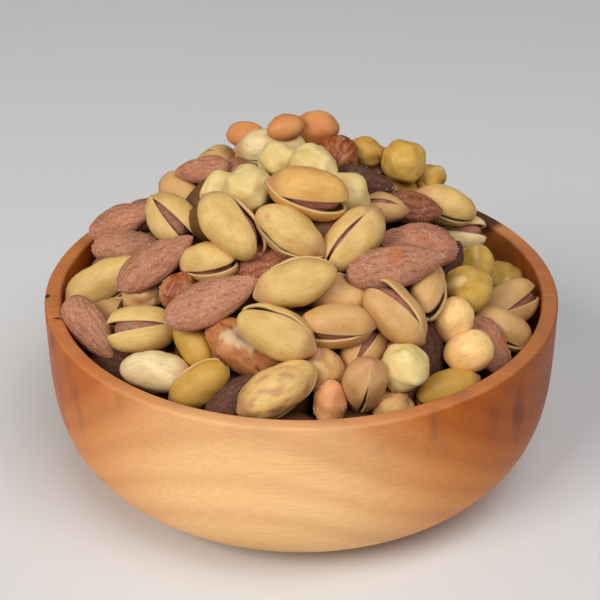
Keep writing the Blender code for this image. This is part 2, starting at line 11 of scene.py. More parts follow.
import bpy
import numpy as np
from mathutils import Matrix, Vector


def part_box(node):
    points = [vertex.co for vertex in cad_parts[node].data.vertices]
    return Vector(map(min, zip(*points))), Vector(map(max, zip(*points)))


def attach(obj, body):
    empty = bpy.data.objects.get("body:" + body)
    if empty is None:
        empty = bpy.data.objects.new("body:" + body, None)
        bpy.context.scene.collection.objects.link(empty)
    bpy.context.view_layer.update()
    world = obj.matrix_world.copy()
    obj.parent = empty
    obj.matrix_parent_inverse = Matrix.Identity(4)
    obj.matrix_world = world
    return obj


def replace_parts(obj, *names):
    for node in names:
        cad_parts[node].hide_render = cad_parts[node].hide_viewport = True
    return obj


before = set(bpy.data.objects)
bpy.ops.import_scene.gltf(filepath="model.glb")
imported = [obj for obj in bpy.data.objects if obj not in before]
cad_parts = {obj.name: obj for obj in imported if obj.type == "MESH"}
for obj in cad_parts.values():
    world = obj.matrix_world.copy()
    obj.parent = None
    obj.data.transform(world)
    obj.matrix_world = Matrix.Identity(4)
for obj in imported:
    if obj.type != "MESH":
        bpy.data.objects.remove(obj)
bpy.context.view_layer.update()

MM = 0.001
BODY = "root"

log = logging.getLogger("bowl_of_nuts")

Socket = bpy.types.NodeSocket
Setting = Socket | float | tuple
Range = tuple[float, float, float, float]

GOLDEN_ANGLE = math.pi * (3.0 - math.sqrt(5.0))
# Keeps a division from failing where a length is nothing
TINY = 1e-9
# Where the seeds of the nuts' and the salt's draws start, and how many each nut's lumps take up
NUT_SEED = 1000
SALT_SEED = 500
LUMP_SEEDS = 7


def linear(hex_colour: str) -> tuple[float, float, float, float]:
    """Turn an sRGB hex colour into linear light.

    Args:
        hex_colour: the colour as it looks, such as "#C8773F".

    Returns:
        Linear red, green and blue, and an alpha of 1.
    """
    parts = [int(hex_colour[i:i + 2], 16) / 255.0 for i in (1, 3, 5)]
    # The sRGB standard's curve: straight near black, a power above it
    red, green, blue = (p / 12.92 if p <= 0.04045 else ((p + 0.055) / 1.055) ** 2.4 for p in parts)
    return red, green, blue, 1.0


def add_node(tree: bpy.types.NodeTree, kind: str, settings: dict[str, str] | None = None,
             links: dict[str | int, Setting] | None = None) -> bpy.types.Node:
    """Add a shader node, with its settings and what goes into its sockets.

    Args:
        tree: the material's node tree.
        kind: the node's type.
        settings: the node's own properties by name.
        links: input sockets by name or number, each with a value or the socket that feeds it.

    Returns:
        The new node.
    """
    node = tree.nodes.new(kind)
    for name, value in (settings or {}).items():
        setattr(node, name, value)
    for name, value in (links or {}).items():
        if isinstance(value, Socket):
            tree.links.new(value, node.inputs[name])
        else:
            node.inputs[name].default_value = value
    return node


def new_tree(name: str) -> tuple[bpy.types.Material, bpy.types.NodeTree, bpy.types.Node]:
    """Start a material.

    Args:
        name: the finish's name.

    Returns:
        The material, its node tree and its Principled shader.
    """
    material = bpy.data.materials.new(name)
    material.use_nodes = True
    tree = material.node_tree
    return material, tree, tree.nodes["Principled BSDF"]


def mixed(tree: bpy.types.NodeTree, factor: Setting, first: Setting, second: Setting,
          blend: str = "MIX") -> Socket:
    """Mix two colours.

    Args:
        tree: the material's node tree.
        factor: how much of the second colour shows.
        first: the colour below.
        second: the colour laid over it.
        blend: the way of mixing.

    Returns:
        The mixed colour's socket.
    """
    # The node keeps its colours in sockets 6 and 7, and gives the mixed one out of socket 2
    node = add_node(tree, "ShaderNodeMix", {"data_type": "RGBA", "blend_type": blend},
                    {0: factor, 6: first, 7: second})
    return node.outputs[2]


def number_maths(tree: bpy.types.NodeTree, operation: str, *values: Setting) -> Socket:
    """Work out a number in a material.

    Args:
        tree: the material's node tree.
        operation: what is done with the values.
        values: the values, in the order of the node's sockets.

    Returns:
        The result's socket.
    """
    node = add_node(tree, "ShaderNodeMath", {"operation": operation}, dict(enumerate(values)))
    return node.outputs[0]


def vector_maths(tree: bpy.types.NodeTree, operation: str, *values: Setting) -> Socket:
    """Work out a vector in a material, or the length of one.

    Args:
        tree: the material's node tree.
        operation: what is done with the values.
        values: the values, in the order of the node's sockets.

    Returns:
        The result's socket.
    """
    node = add_node(tree, "ShaderNodeVectorMath", {"operation": operation}, dict(enumerate(values)))
    return node.outputs["Value" if operation == "LENGTH" else "Vector"]


def ranged(tree: bpy.types.NodeTree, value: Setting, low: float, high: float,
           to_low: float = 0.0, to_high: float = 1.0) -> Socket:
    """Turn a range of a value smoothly into another range.

    Args:
        tree: the material's node tree.
        value: the value that goes in.
        low: where the range starts.
        high: where it ends.
        to_low: what the start becomes.
        to_high: what the end becomes.

    Returns:
        The new value's socket.
    """
    node = add_node(tree, "ShaderNodeMapRange", {"interpolation_type": "SMOOTHSTEP"},
                    {0: value, 1: low, 2: high, 3: to_low, 4: to_high})
    return node.outputs[0]


def noise(tree: bpy.types.NodeTree, place: Socket, stretch: tuple[float, float, float], grain_mm: float,
          detail: float = 2.0, seed: Setting = 0.0) -> Socket:
    """Draw a noise whose grains have a real size.

    Args:
        tree: the material's node tree.
        place: coordinates in millimetres.
        stretch: how much finer the noise is along each axis.
        grain_mm: the size of a grain in millimetres.
        detail: how many finer layers it has.
        seed: shifts the pattern from nut to nut.

    Returns:
        The noise's value, about 0.5 on average.
    """
    scaled = vector_maths(tree, "MULTIPLY", place, stretch)
    node = add_node(tree, "ShaderNodeTexNoise", {"noise_dimensions": "4D"},
                    {"Vector": scaled, "W": seed, "Scale": 1.0 / grain_mm, "Detail": detail})
    return node.outputs["Fac"]


def bumped(tree: bpy.types.NodeTree, shader: bpy.types.Node, height: Socket, depth_mm: float,
           below: Socket | None = None) -> Socket:
    """Give a shader relief from a height of 0 to 1.

    Args:
        tree: the material's node tree.
        shader: the shader that gets the relief.
        height: the height's socket.
        depth_mm: how deep the relief is in millimetres.
        below: a coarser relief that this one lies on.

    Returns:
        The relief's normal.
    """
    links: dict[str | int, Setting] = {"Height": height, "Distance": depth_mm * MM, "Strength": 1.0}
    if below is not None:
        links["Normal"] = below
    node = add_node(tree, "ShaderNodeBump", {}, links)
    tree.links.new(node.outputs[0], shader.inputs["Normal"])
    return node.outputs[0]


@dataclass(frozen=True)
class Mark:
    """A soft-edged spot on the wood: its middle and half sizes in millimetres, and its colour."""

    middle: tuple[float, float, float]
    size: tuple[float, float, float]
    colour: str


KNOT = Mark((-73.9, -7.6, 56.8), (1.1, 1.2, 1.3), "#120A06")
CRACK_ON_RIM = Mark((-69.9, -20.0, 57.0), (3.6, 0.35, 0.8), "#1E0E06")
CRACK_ON_SIDE = Mark((-72.2, -20.0, 54.6), (0.8, 0.4, 3.2), "#2A140A")
DARK_PATCH = Mark((57.5, 41.5, 57.0), (8.0, 7.5, 5.0), "#4A2C1A")


@dataclass(frozen=True)
class TurnedWood:
    """Fruitwood, turned and oiled: red-tan heartwood, straw sapwood and fine reddish ring lines.

    The log lay across the view, so the rings are tubes round a pith that runs along X above the bowl.
    Each range holds where a change starts and ends, then what the value is at its start and end.
    """

    pith: tuple[float, float, float] = (0.0, -10.0 * MM, 83.5 * MM)
    skew: float = math.radians(10.0)
    ring_mm: float = 7.2
    wander_mm: float = 9.0
    wander_grain_mm: float = 48.0
    wander_stretch: tuple[float, float, float] = (0.5, 1.0, 1.0)
    line: Range = (0.0, 0.035, 1.0, 0.0)
    bark_at_back_mm: Range = (8.0, 48.0, 0.0, 24.0)
    sapwood_mm: Range = (54.5, 84.5, 0.0, 1.0)
    deep_sapwood_mm: Range = (88.0, 108.0, 0.0, 1.0)
    blotch_mm: float = 9.0
    blotch_stretch: tuple[float, float, float] = (1.0, 1.0, 0.4)
    blotch_seed: float = 3.0
    blotch: Range = (0.5, 0.75, 0.0, 0.75)
    dark_right_mm: Range = (30.0, 74.0, 0.0, 0.42)
    ends_shift_mm: float = 10.0
    red_ends_mm: Range = (14.0, 64.0, 0.0, 0.78)
    late_wood: Range = (0.1, 0.5, 0.0, 0.16)
    line_height_mm: Range = (55.5, 56.8, 0.05, 0.4)
    fibre_mm: float = 0.55
    fibre_stretch: tuple[float, float, float] = (0.035, 1.0, 1.0)
    fibre: Range = (0.35, 0.7, 0.0, 0.14)
    rim_highlight_height_mm: Range = (56.2, 56.9, 0.0, 0.25)
    mark_edge: Range = (0.55, 1.15, 0.92, 0.0)
    marks: tuple[Mark, ...] = (KNOT, CRACK_ON_RIM, CRACK_ON_SIDE, DARK_PATCH)
    heart: str = "#BA601C"
    dark_heart_and_shade: str = "#72361A"
    sap: str = "#F8C88C"
    sap_deep: str = "#E8B468"
    sap_end: str = "#DC7E2A"
    late_colour: str = "#B4713C"
    ring_line: str = "#D28A54"
    fibre_colour: str = "#A8683A"
    rim_highlight: str = "#DDA878"
    roughness: float = 0.42
    ior: float = 1.48
    gloss: float = 0.12
    relief_mm: float = 0.03

    def material(self) -> bpy.types.Material:
        """Make the material."""
        material, tree, shader = new_tree("turned_fruitwood")
        place = add_node(tree, "ShaderNodeTexCoord").outputs["Object"]
        in_mm = add_node(tree, "ShaderNodeVectorMath", {"operation": "SCALE"},
                         {0: place, "Scale": 1.0 / MM}).outputs[0]
        spot = add_node(tree, "ShaderNodeSeparateXYZ", {}, {0: in_mm}).outputs
        warped = self.ring_radius(tree, place, in_mm)
        phase = number_maths(tree, "MULTIPLY", warped, 1.0 / self.ring_mm)
        share = number_maths(tree, "PINGPONG", phase, 0.5)
        wood = self.heart_and_sap(tree, in_mm, spot, warped)
        # The late wood of each ring is a little darker than the early wood
        late = ranged(tree, share, *self.late_wood)
        wood = mixed(tree, late, wood, linear(self.late_colour), "MULTIPLY")
        # The ring lines are faint under the oil and plain on the rim's flat top
        line = number_maths(tree, "MULTIPLY", ranged(tree, share, *self.line),
                            ranged(tree, spot["Z"], *self.line_height_mm))
        wood = mixed(tree, line, wood, linear(self.ring_line))
        # Fibres run along the log: drawn 0.5 mm wide, coarser than real ones, so that they show
        fibre = noise(tree, in_mm, self.fibre_stretch, self.fibre_mm, detail=3.0)
        wood = mixed(tree, ranged(tree, fibre, *self.fibre), wood, linear(self.fibre_colour),
                     "MULTIPLY")
        # Painted highlight: the rim's flat top and the tops of its rounded edges are lightened toward
        # pale tan, for the light they catch
        wood = mixed(tree, ranged(tree, spot["Z"], *self.rim_highlight_height_mm), wood, linear(self.rim_highlight))
        wood = self.add_marks(tree, in_mm, wood)
        tree.links.new(wood, shader.inputs["Base Color"])
        shader.inputs["Roughness"].default_value = self.roughness
        shader.inputs["IOR"].default_value = self.ior
        shader.inputs["Specular IOR Level"].default_value = self.gloss
        bumped(tree, shader, fibre, self.relief_mm)
        return material

    def ring_radius(self, tree: bpy.types.NodeTree, place: Socket, in_mm: Socket) -> Socket:
        """Find how far from the pith a point lies, as its tree ring goes.

        Args:
            tree: the material's node tree.
            place: the object's coordinates in metres.
            in_mm: the same in millimetres.

        Returns:
            The distance in millimetres.
        """
        # The log lay a little askew, so the right side has more heartwood
        askew = add_node(tree, "ShaderNodeMapping", {},
                         {"Vector": place, "Rotation": (0.0, 0.0, self.skew)}).outputs[0]
        from_pith = vector_maths(tree, "SUBTRACT", askew, self.pith)
        across = vector_maths(tree, "MULTIPLY", from_pith, (0.0, 1.0 / MM, 1.0 / MM))
        radius = vector_maths(tree, "LENGTH", across)
        # A tree doesn't grow evenly: the rings wander by a millimetre or two along the log
        wander = noise(tree, in_mm, self.wander_stretch, self.wander_grain_mm, detail=1.0)
        return number_maths(tree, "MULTIPLY_ADD", wander, self.wander_mm, radius)

    def heart_and_sap(self, tree: bpy.types.NodeTree, in_mm: Socket, spot: bpy.types.NodeOutputs,
                      radius: Socket) -> Socket:
        """Colour the blotchy red heartwood and the pale sapwood round it.

        Args:
            tree: the material's node tree.
            in_mm: the object's coordinates in millimetres.
            spot: the same as three numbers.
            radius: the distance from the pith in millimetres.

        Returns:
            The colour.
        """
        # The sapwood comes closer to the pith at the back, where the tree's bark was nearer
        bark = number_maths(tree, "ADD", radius, ranged(tree, spot["Y"], *self.bark_at_back_mm))
        blotch = noise(tree, in_mm, self.blotch_stretch, self.blotch_mm, detail=3.0,
                       seed=self.blotch_seed)
        heart = mixed(tree, ranged(tree, blotch, *self.blotch), linear(self.heart),
                      linear(self.dark_heart_and_shade))
        # Darker toward the right: partly the heartwood's own darker colour, partly painted shade on the
        # bowl's shaded right side
        heart = mixed(tree, ranged(tree, spot["X"], *self.dark_right_mm), heart,
                      linear(self.dark_heart_and_shade))
        sap = mixed(tree, ranged(tree, radius, *self.deep_sapwood_mm), linear(self.sap),
                    linear(self.sap_deep))
        # Toward both ends of the log's axis the cut runs nearer the heart, and the sapwood is redder
        along = number_maths(tree, "ADD", spot["X"], self.ends_shift_mm)
        ends = number_maths(tree, "ABSOLUTE", along)
        sap = mixed(tree, ranged(tree, ends, *self.red_ends_mm), sap, linear(self.sap_end))
        return mixed(tree, ranged(tree, bark, *self.sapwood_mm), heart, sap)

    def add_marks(self, tree: bpy.types.NodeTree, in_mm: Socket, wood: Socket) -> Socket:
        """Lay a knot and a drying crack on the left of the rim, and a dark brown patch on its far
        right.

        Args:
            tree: the material's node tree.
            in_mm: the object's coordinates in millimetres.
            wood: the colour below.

        Returns:
            The colour with the marks.
        """
        for mark in self.marks:
            offset = vector_maths(tree, "SUBTRACT", in_mm, mark.middle)
            away = vector_maths(tree, "LENGTH", vector_maths(tree, "DIVIDE", offset, mark.size))
            wood = mixed(tree, ranged(tree, away, *self.mark_edge), wood, linear(mark.colour))
        return wood


@dataclass(frozen=True)
class NutFinish:
    """A nut's surface, coloured from each nut's own tint and marks.

    The mesh carries "own", the point's place in its nut in millimetres, "tint", the nut's colour,
    "mark", three masks, "lot", a number that differs from nut to nut, and "lit", how much of the
    light gets down to the nut. A patch is where a noise lies between two levels: broad shades,
    streaks along the nut, and specks.
    """

    name: str
    roughness: float
    ior: float = 1.46
    shade: str = "#B08858"
    shade_grain_mm: float = 5.0
    shade_length: float = 0.6
    shade_share: float = 0.35
    streak_mm: float = 0.7
    streak_length: float = 0.16
    streak_colour: str = "#A07848"
    streak_share: float = 0.25
    speck_colour: str = "#8A5A34"
    speck_mm: float = 1.0
    speck_level: float = 0.70
    speck_share: float = 0.4
    mark_colours: tuple[str, str, str] = ("#B98A66", "#EAD8B0", "#B79468")
    mark_shares: tuple[float, float, float] = (0.75, 0.85, 0.8)
    relief_mm: float = 0.05
    pit_mm: float = 0.0
    glow: float = 0.0
    dust_left_in_shade: float = 1.0
    shade_levels: tuple[float, float] = (0.38, 0.68)
    streak_levels: tuple[float, float] = (0.42, 0.72)
    speck_edge: float = 0.07
    dust_levels: tuple[float, float] = (0.08, 0.3)
    gloss: float = 0.35
    glow_reach_mm: float = 1.2
    glow_colours: tuple[float, float, float] = (1.0, 0.6, 0.3)

    def material(self) -> bpy.types.Material:
        """Make the material."""
        material, tree, shader = new_tree(self.name)
        own = add_node(tree, "ShaderNodeAttribute", {"attribute_name": "own"}).outputs["Vector"]
        tint = add_node(tree, "ShaderNodeAttribute", {"attribute_name": "tint"}).outputs["Color"]
        mark = add_node(tree, "ShaderNodeAttribute", {"attribute_name": "mark"}).outputs["Vector"]
        lot = add_node(tree, "ShaderNodeAttribute", {"attribute_name": "lot"}).outputs["Fac"]
        lit = add_node(tree, "ShaderNodeAttribute", {"attribute_name": "lit"}).outputs["Color"]
        masks = add_node(tree, "ShaderNodeSeparateXYZ", {}, {0: mark})
        broad = noise(tree, own, (self.shade_length, 1.0, 1.0), self.shade_grain_mm, detail=2.0,
                      seed=lot)
        streak = noise(tree, own, (self.streak_length, 1.0, 1.0), self.streak_mm, detail=3.0, seed=lot)
        specks = noise(tree, own, (1.0, 1.0, 1.0), self.speck_mm, detail=1.0, seed=lot)
        plain = mixed(tree, ranged(tree, broad, *self.shade_levels, 0.0, self.shade_share), tint,
                      linear(self.shade), "MULTIPLY")
        colour = mixed(tree, ranged(tree, streak, *self.streak_levels, 0.0, self.streak_share), plain,
                       linear(self.streak_colour))
        speck_share = ranged(tree, specks, self.speck_level, self.speck_level + self.speck_edge, 0.0,
                             self.speck_share)
        colour = mixed(tree, speck_share, colour, linear(self.speck_colour))
        for index, (mask_colour, share) in enumerate(zip(self.mark_colours, self.mark_shares)):
            mask = ranged(tree, masks.outputs[index], 0.0, 1.0, 0.0, share)
            colour = mixed(tree, mask, colour, linear(mask_colour))
        # On the darkest tints, those of the almonds deep in the gaps, the pale dust, streaks, specks
        # and marks mostly give way to the plain tinted colour: painted shade; the third output is the
        # brightness
        value = add_node(tree, "ShaderNodeSeparateColor", {"mode": "HSV"}, {0: tint}).outputs[2]
        dusted = ranged(tree, value, *self.dust_levels, self.dust_left_in_shade, 1.0)
        colour = vector_maths(tree, "MULTIPLY", mixed(tree, dusted, plain, colour), lit)
        tree.links.new(colour, shader.inputs["Base Color"])
        shader.inputs["Roughness"].default_value = self.roughness
        shader.inputs["IOR"].default_value = self.ior
        shader.inputs["Specular IOR Level"].default_value = self.gloss
        if self.glow:
            shader.inputs["Subsurface Weight"].default_value = self.glow
            shader.inputs["Subsurface Radius"].default_value = self.glow_colours
            shader.inputs["Subsurface Scale"].default_value = self.glow_reach_mm * MM
        relief = bumped(tree, shader, streak, self.relief_mm)
        if self.pit_mm:
            bumped(tree, shader, specks, self.pit_mm, relief)
        return material


# Pistachio shell: bone-hard, dry and satin, straw with pinkish stem end and pale broken lips; its tan
# inside is darkened to brown by painted shade in the shell's hollow
SHELL = NutFinish("pistachio_shell", 0.52, shade="#C9A468", streak_colour="#B08A4C", streak_share=0.3,
                  speck_colour="#A07646", speck_level=0.66,
                  mark_colours=("#BC8860", "#D2B07A", "#8E6844"), mark_shares=(0.85, 0.8, 0.9),
                  relief_mm=0.05)
# Pistachio kernel: a thin purple-brown skin, wrinkled lengthwise, green where it has rubbed off
KERNEL = NutFinish("pistachio_kernel", 0.6, shade="#8A5A50", streak_colour="#5E3830", streak_mm=0.55,
                   streak_share=0.6, speck_colour="#8C8444", speck_mm=2.2, speck_level=0.62,
                   relief_mm=0.25)
# Smoked almond: brown skin under a dry pink-grey dust of salt, which stays on the raised wrinkles
ALMOND_SKIN = NutFinish("smoked_almond", 0.7, shade="#8C5638", shade_grain_mm=5.5, streak_mm=0.5,
                        streak_length=0.22, streak_colour="#7A4A34", streak_share=0.45,
                        speck_colour="#D6AE96", speck_mm=0.55, speck_level=0.56, speck_share=0.34,
                        mark_colours=("#C06A38", "#B8907C", "#5E3626"), mark_shares=(0.5, 0.2, 0.5),
                        relief_mm=0.1, pit_mm=0.12, dust_left_in_shade=0.3)
# Blanched hazelnut: waxy cream flesh that lets a little light in
BLANCHED_FLESH = NutFinish("blanched_hazelnut", 0.42, shade="#D8BE74", shade_grain_mm=4.5,
                           streak_colour="#D6BC72", streak_share=0.3, streak_length=0.8, streak_mm=1.4,
                           speck_colour="#C8A05C", speck_level=0.74, speck_share=0.25,
                           mark_colours=("#CCAA64", "#F2E6B4", "#BC9450"), mark_shares=(0.35, 0.4, 0.2),
                           relief_mm=0.06, glow=0.12)
# Hazelnut in its skin: papery brown skin with paler threads running from the base to the tip
HAZEL_SKIN = NutFinish("hazelnut_skin", 0.5, shade="#A0562C", shade_grain_mm=3.5,
                       streak_colour="#D79A66", streak_share=0.45, streak_length=0.2, streak_mm=0.8,
                       speck_colour="#5E2C16", speck_level=0.62,
                       mark_colours=("#D4BC96", "#E0A070", "#5A2C18"), mark_shares=(0.82, 0.5, 0.7),
                       relief_mm=0.15)
# Roasted peanut: smooth and oily, orange from the roasting
PEANUT_FLESH = NutFinish("roasted_peanut", 0.5, shade="#C88848", streak_colour="#C88A54",
                         streak_share=0.3, speck_colour="#B4703A",
                         mark_colours=("#C09060", "#EAD8B0", "#C48C50"), mark_shares=(0.7, 0.15, 0.3),
                         relief_mm=0.06, glow=0.08)
# Roasted chickpea: dry, matt and finely crinkled
CHICKPEA_SKIN = NutFinish("roasted_chickpea", 0.85, shade="#C49458", shade_grain_mm=3.0,
                          streak_colour="#B98850", streak_share=0.4, streak_length=0.7, streak_mm=1.2,
                          speck_colour="#9A6A38", mark_shares=(0.7, 0.2, 0.7), relief_mm=0.16)
# Painted shade: a dark sheet for the crumbs and nuts deep in the bowl, which the light doesn't reach;
# its dark colour is painted shade
SHADE_BED = NutFinish("painted_shade_bed", 0.85, shade="#3A2416", shade_grain_mm=6.0, streak_colour="#20120A",
                streak_share=0.6, relief_mm=0.6)


@dataclass(frozen=True)
class Salt:
    """Table salt: clear cubes under a millimetre, white where many faces catch the light."""

    colour: str = "#EAD6C6"
    dusty_colour: str = "#D9B8A4"
    cloud_mm: float = 0.4
    roughness: float = 0.3
    ior: float = 1.54

    def material(self) -> bpy.types.Material:
        """Make the material."""
        material, tree, shader = new_tree("salt_crystals")
        own = add_node(tree, "ShaderNodeAttribute", {"attribute_name": "own"}).outputs["Vector"]
        cloud = noise(tree, own, (1.0, 1.0, 1.0), self.cloud_mm)
        colour = mixed(tree, cloud, linear(self.colour), linear(self.dusty_colour))
        tree.links.new(colour, shader.inputs["Base Color"])
        shader.inputs["Roughness"].default_value = self.roughness
        shader.inputs["IOR"].default_value = self.ior
        return material


class Kind(Enum):
    """The kinds of nut in the mix, each with an average one's length, width and height."""

    PISTACHIO = (21.0, 12.4, 11.6)
    ALMOND = (24.0, 12.8, 8.6)
    BLANCHED = (13.0, 12.6, 12.2)
    SKIN_ON = (14.5, 13.0, 12.6)
    PEANUT = (15.0, 10.5, 10.0)
    CHICKPEA = (11.5, 10.0, 10.0)

    def sides(self, size: float, long: float) -> np.ndarray:
        """Return length, width and height of a nut of this kind.

        Args:
            size: its size against the average.
            long: what its length is multiplied by.

        Returns:
            The three in metres.
        """
        return np.array(self.value) * (size * MM) * np.array([long, 1.0, 1.0])


class Tone(Enum):
    """The nuts' main colours, as they look in even light."""

    STRAW = "#DCB872"
    CREAM = "#E8D2A0"
    HONEY = "#D9A85E"
    TAN = "#D2A66C"
    OLIVE = "#CCA24A"
    IVORY = "#E2CA8A"
    DUSTY = "#B87C5A"
    ROSY = "#BC7A58"
    DARK = "#522E1C"
    RED_BROWN = "#944A20"
    ORANGE = "#D08A50"
    KERNEL = "#AE745E"
    SALMON = "#DE9C66"
    SAND = "#FCD08A"
    RUST = "#B87644"
    # Painted shade: the dark tint of the bed far under the nuts
    DEEP = "#2C1C12"
    WHITE = "#F0E0D6"


USUAL_TONE = {Kind.PISTACHIO: Tone.STRAW, Kind.ALMOND: Tone.DUSTY, Kind.BLANCHED: Tone.IVORY,
              Kind.SKIN_ON: Tone.RED_BROWN, Kind.PEANUT: Tone.ORANGE, Kind.CHICKPEA: Tone.TAN}


@dataclass(frozen=True)
class Seen:
    """One nut in view: its middle and its tip's angle in the 600-pixel picture, roll and pitch in
    degrees, size against the average, what its length is multiplied by, depth of its middle under
    the heap's surface in millimetres, the angle between its shell's halves, its tone where it isn't
    the usual one, whether salt lies on it, and the depth of its shell's furrows in millimetres
    beyond the usual."""

    kind: Kind
    column: float
    row: float
    turn: float
    roll: float = 0.0
    pitch: float = 0.0
    size: float = 1.0
    long: float = 1.0
    depth: float = 6.0
    gap: float = 0.0
    tone: Tone | None = None
    salted: bool = False
    furrow: float = 0.0


P, A, B, S, N, C = Kind
IN_VIEW = (
    Seen(P, 166, 213, -48, pitch=5, size=0.98, gap=10),
    Seen(P, 229, 229, -47, roll=-55, size=1.12, depth=5, gap=10),
    Seen(P, 182, 191, -40, roll=-60, size=0.95, depth=11, gap=8, tone=Tone.TAN),
    Seen(A, 119, 239, 4, size=0.83, long=1.2, depth=5, salted=True),
    Seen(A, 95, 256, 48, roll=10, size=0.9, depth=4.5, tone=Tone.ROSY, salted=True),
    Seen(A, 119, 222, 22, size=0.95, depth=9, tone=Tone.ROSY, salted=True),
    Seen(A, 156, 264, 35, roll=10, size=0.87, long=1.2, depth=5, salted=True),
    Seen(P, 209, 257, -8, roll=50, pitch=25, size=0.9, depth=7, gap=5),
    Seen(S, 179, 285, 60, size=0.8, depth=8, salted=True),
    Seen(C, 138, 293, 10, size=1.05, depth=8),
    Seen(A, 214, 305, 24, size=0.95, long=1.2, depth=4.5, salted=True),
    Seen(P, 93, 280, 29, roll=95, long=1.22, depth=5, gap=3),
    Seen(A, 84, 330, -53, size=0.85, long=1.2, depth=4, salted=True),
    Seen(P, 106, 316, 20, roll=-60, size=0.9, depth=12, gap=10, tone=Tone.TAN),
    Seen(P, 143, 327, 188, pitch=20, size=0.95, gap=11),
    Seen(P, 157, 374, 172, roll=85, pitch=5, size=0.93, gap=3, tone=Tone.CREAM),
    Seen(P, 199, 384, 35, roll=-70, pitch=10, size=0.9, depth=9, gap=6, tone=Tone.OLIVE),
    Seen(A, 118, 364, -35, size=0.85, depth=12, tone=Tone.DARK),
    Seen(A, 231, 392, 45, size=0.8, depth=10, tone=Tone.DARK),
    Seen(P, 190, 344, -60, roll=90, size=0.8, depth=13, gap=4, tone=Tone.OLIVE),
    Seen(S, 242, 350, -27, size=1.1, long=1.42, depth=9, tone=Tone.RUST),
    Seen(P, 280, 386, 31, roll=90, size=1.06, depth=4, gap=3, furrow=0.4),
    Seen(P, 289, 230, 147, roll=-65, gap=5),
    Seen(P, 309, 193, -15, roll=50, size=1.08, depth=4, gap=10, tone=Tone.HONEY),
    Seen(P, 355, 232, 226, roll=20, size=1.05, depth=5, gap=3),
    Seen(P, 297, 281, 19, roll=-60, size=1.05, depth=4.5, gap=6),
    Seen(P, 277, 330, 153, roll=50, size=1.03, depth=4.5, gap=8),
    Seen(P, 341, 296, -14, roll=-60, depth=10, gap=4, tone=Tone.TAN),
    Seen(P, 393, 313, 131, roll=20, size=0.98, depth=5, gap=12, tone=Tone.TAN),
    Seen(P, 335, 332, 182, roll=-45, size=0.92, depth=8, gap=9, tone=Tone.TAN),
    Seen(A, 424, 238, 174, size=1.02, tone=Tone.ROSY, salted=True),
    Seen(A, 398, 265, 12, size=0.92, long=1.28, depth=3, salted=True),
    Seen(A, 416, 206, -8, size=0.85, long=0.95, depth=8, tone=Tone.RED_BROWN),
    Seen(P, 434, 293, 260, roll=-50, pitch=25, size=0.9, depth=7, gap=9, tone=Tone.TAN),
    Seen(B, 474, 286, 0, size=1.08, tone=Tone.OLIVE),
    Seen(B, 478, 261, 0, size=0.9, depth=9, tone=Tone.OLIVE),
    Seen(B, 520, 271, -10, size=1.05, long=1.1, depth=5, tone=Tone.OLIVE),
    Seen(P, 516, 304, 30, roll=15, size=0.97, depth=7, gap=11, tone=Tone.TAN),
    Seen(N, 456, 318, 75, size=1.05, long=0.85, tone=Tone.SAND),
    Seen(P, 503, 327, 155, roll=-60, size=0.92, depth=9, gap=6, tone=Tone.TAN),
    Seen(N, 469, 351, 20, size=1.08, long=0.88, depth=5, tone=Tone.SAND),
    Seen(A, 493, 347, -60, roll=20, size=0.85, depth=9, tone=Tone.ROSY, salted=True),
    Seen(B, 405, 369, 0, size=1.02, depth=3),
    Seen(P, 368, 387, -95, pitch=-62, size=0.95, gap=2, tone=Tone.TAN),
    Seen(P, 449, 384, 200, roll=-70, size=0.86, depth=8, gap=6, tone=Tone.OLIVE),
    Seen(C, 392, 403, 0, size=1.05, depth=9),
    Seen(N, 334, 398, 95, pitch=30, size=0.85, depth=7, tone=Tone.SALMON, salted=True),
    Seen(C, 327, 368, 100, size=1.2, depth=11),
    Seen(A, 431, 340, 95, roll=30, size=0.85, depth=12, tone=Tone.DARK),
    Seen(P, 366, 345, 60, size=0.8, depth=11, gap=12, tone=Tone.TAN),
    Seen(S, 387, 356, 0, size=0.7, depth=15, tone=Tone.ORANGE),
    Seen(A, 268, 259, 15, size=0.9, depth=12, tone=Tone.RED_BROWN),
    Seen(B, 278, 151, 0, size=0.92),
    Seen(B, 312, 160, -15, size=0.97, long=1.1),
    Seen(B, 246, 185, 60, size=1.15),
    Seen(B, 214, 180, 30, size=0.78, long=1.25, depth=7),
    Seen(A, 198, 166, 185, size=0.76, depth=7, tone=Tone.ROSY, salted=True),
    Seen(N, 246, 138, 0, size=0.8, depth=7),
    Seen(P, 272, 143, 2, roll=90, size=0.95, depth=10, gap=3, tone=Tone.CREAM),
    Seen(N, 283, 131, 20, size=0.75, depth=8),
    Seen(N, 316, 131, 0, size=0.95, depth=8),
    Seen(S, 340, 145, 60, size=0.93),
    Seen(A, 242, 158, 10, size=0.7, depth=11),
    Seen(B, 351, 191, -50, depth=8),
    Seen(A, 363, 179, -10, size=0.78, depth=8, tone=Tone.DARK, salted=True),
    Seen(C, 373, 151, 0, size=0.95, depth=8, tone=Tone.OLIVE),
    Seen(B, 400, 163, 80, size=1.05, depth=7, tone=Tone.OLIVE),
    Seen(C, 430, 182, 0, size=0.85, depth=9, tone=Tone.OLIVE),
    Seen(P, 448, 198, -22, roll=80, size=0.9, depth=9, gap=4),
    Seen(P, 398, 189, 0, roll=80, size=0.85, depth=12, gap=4, tone=Tone.OLIVE),
    Seen(P, 385, 203, 170, size=0.65, depth=11, gap=8, tone=Tone.TAN),
    Seen(P, 463, 229, -20, roll=20, pitch=35, size=0.75, depth=7, gap=14, tone=Tone.CREAM),
    Seen(A, 451, 259, 60, size=0.65, depth=11, tone=Tone.DARK),
)


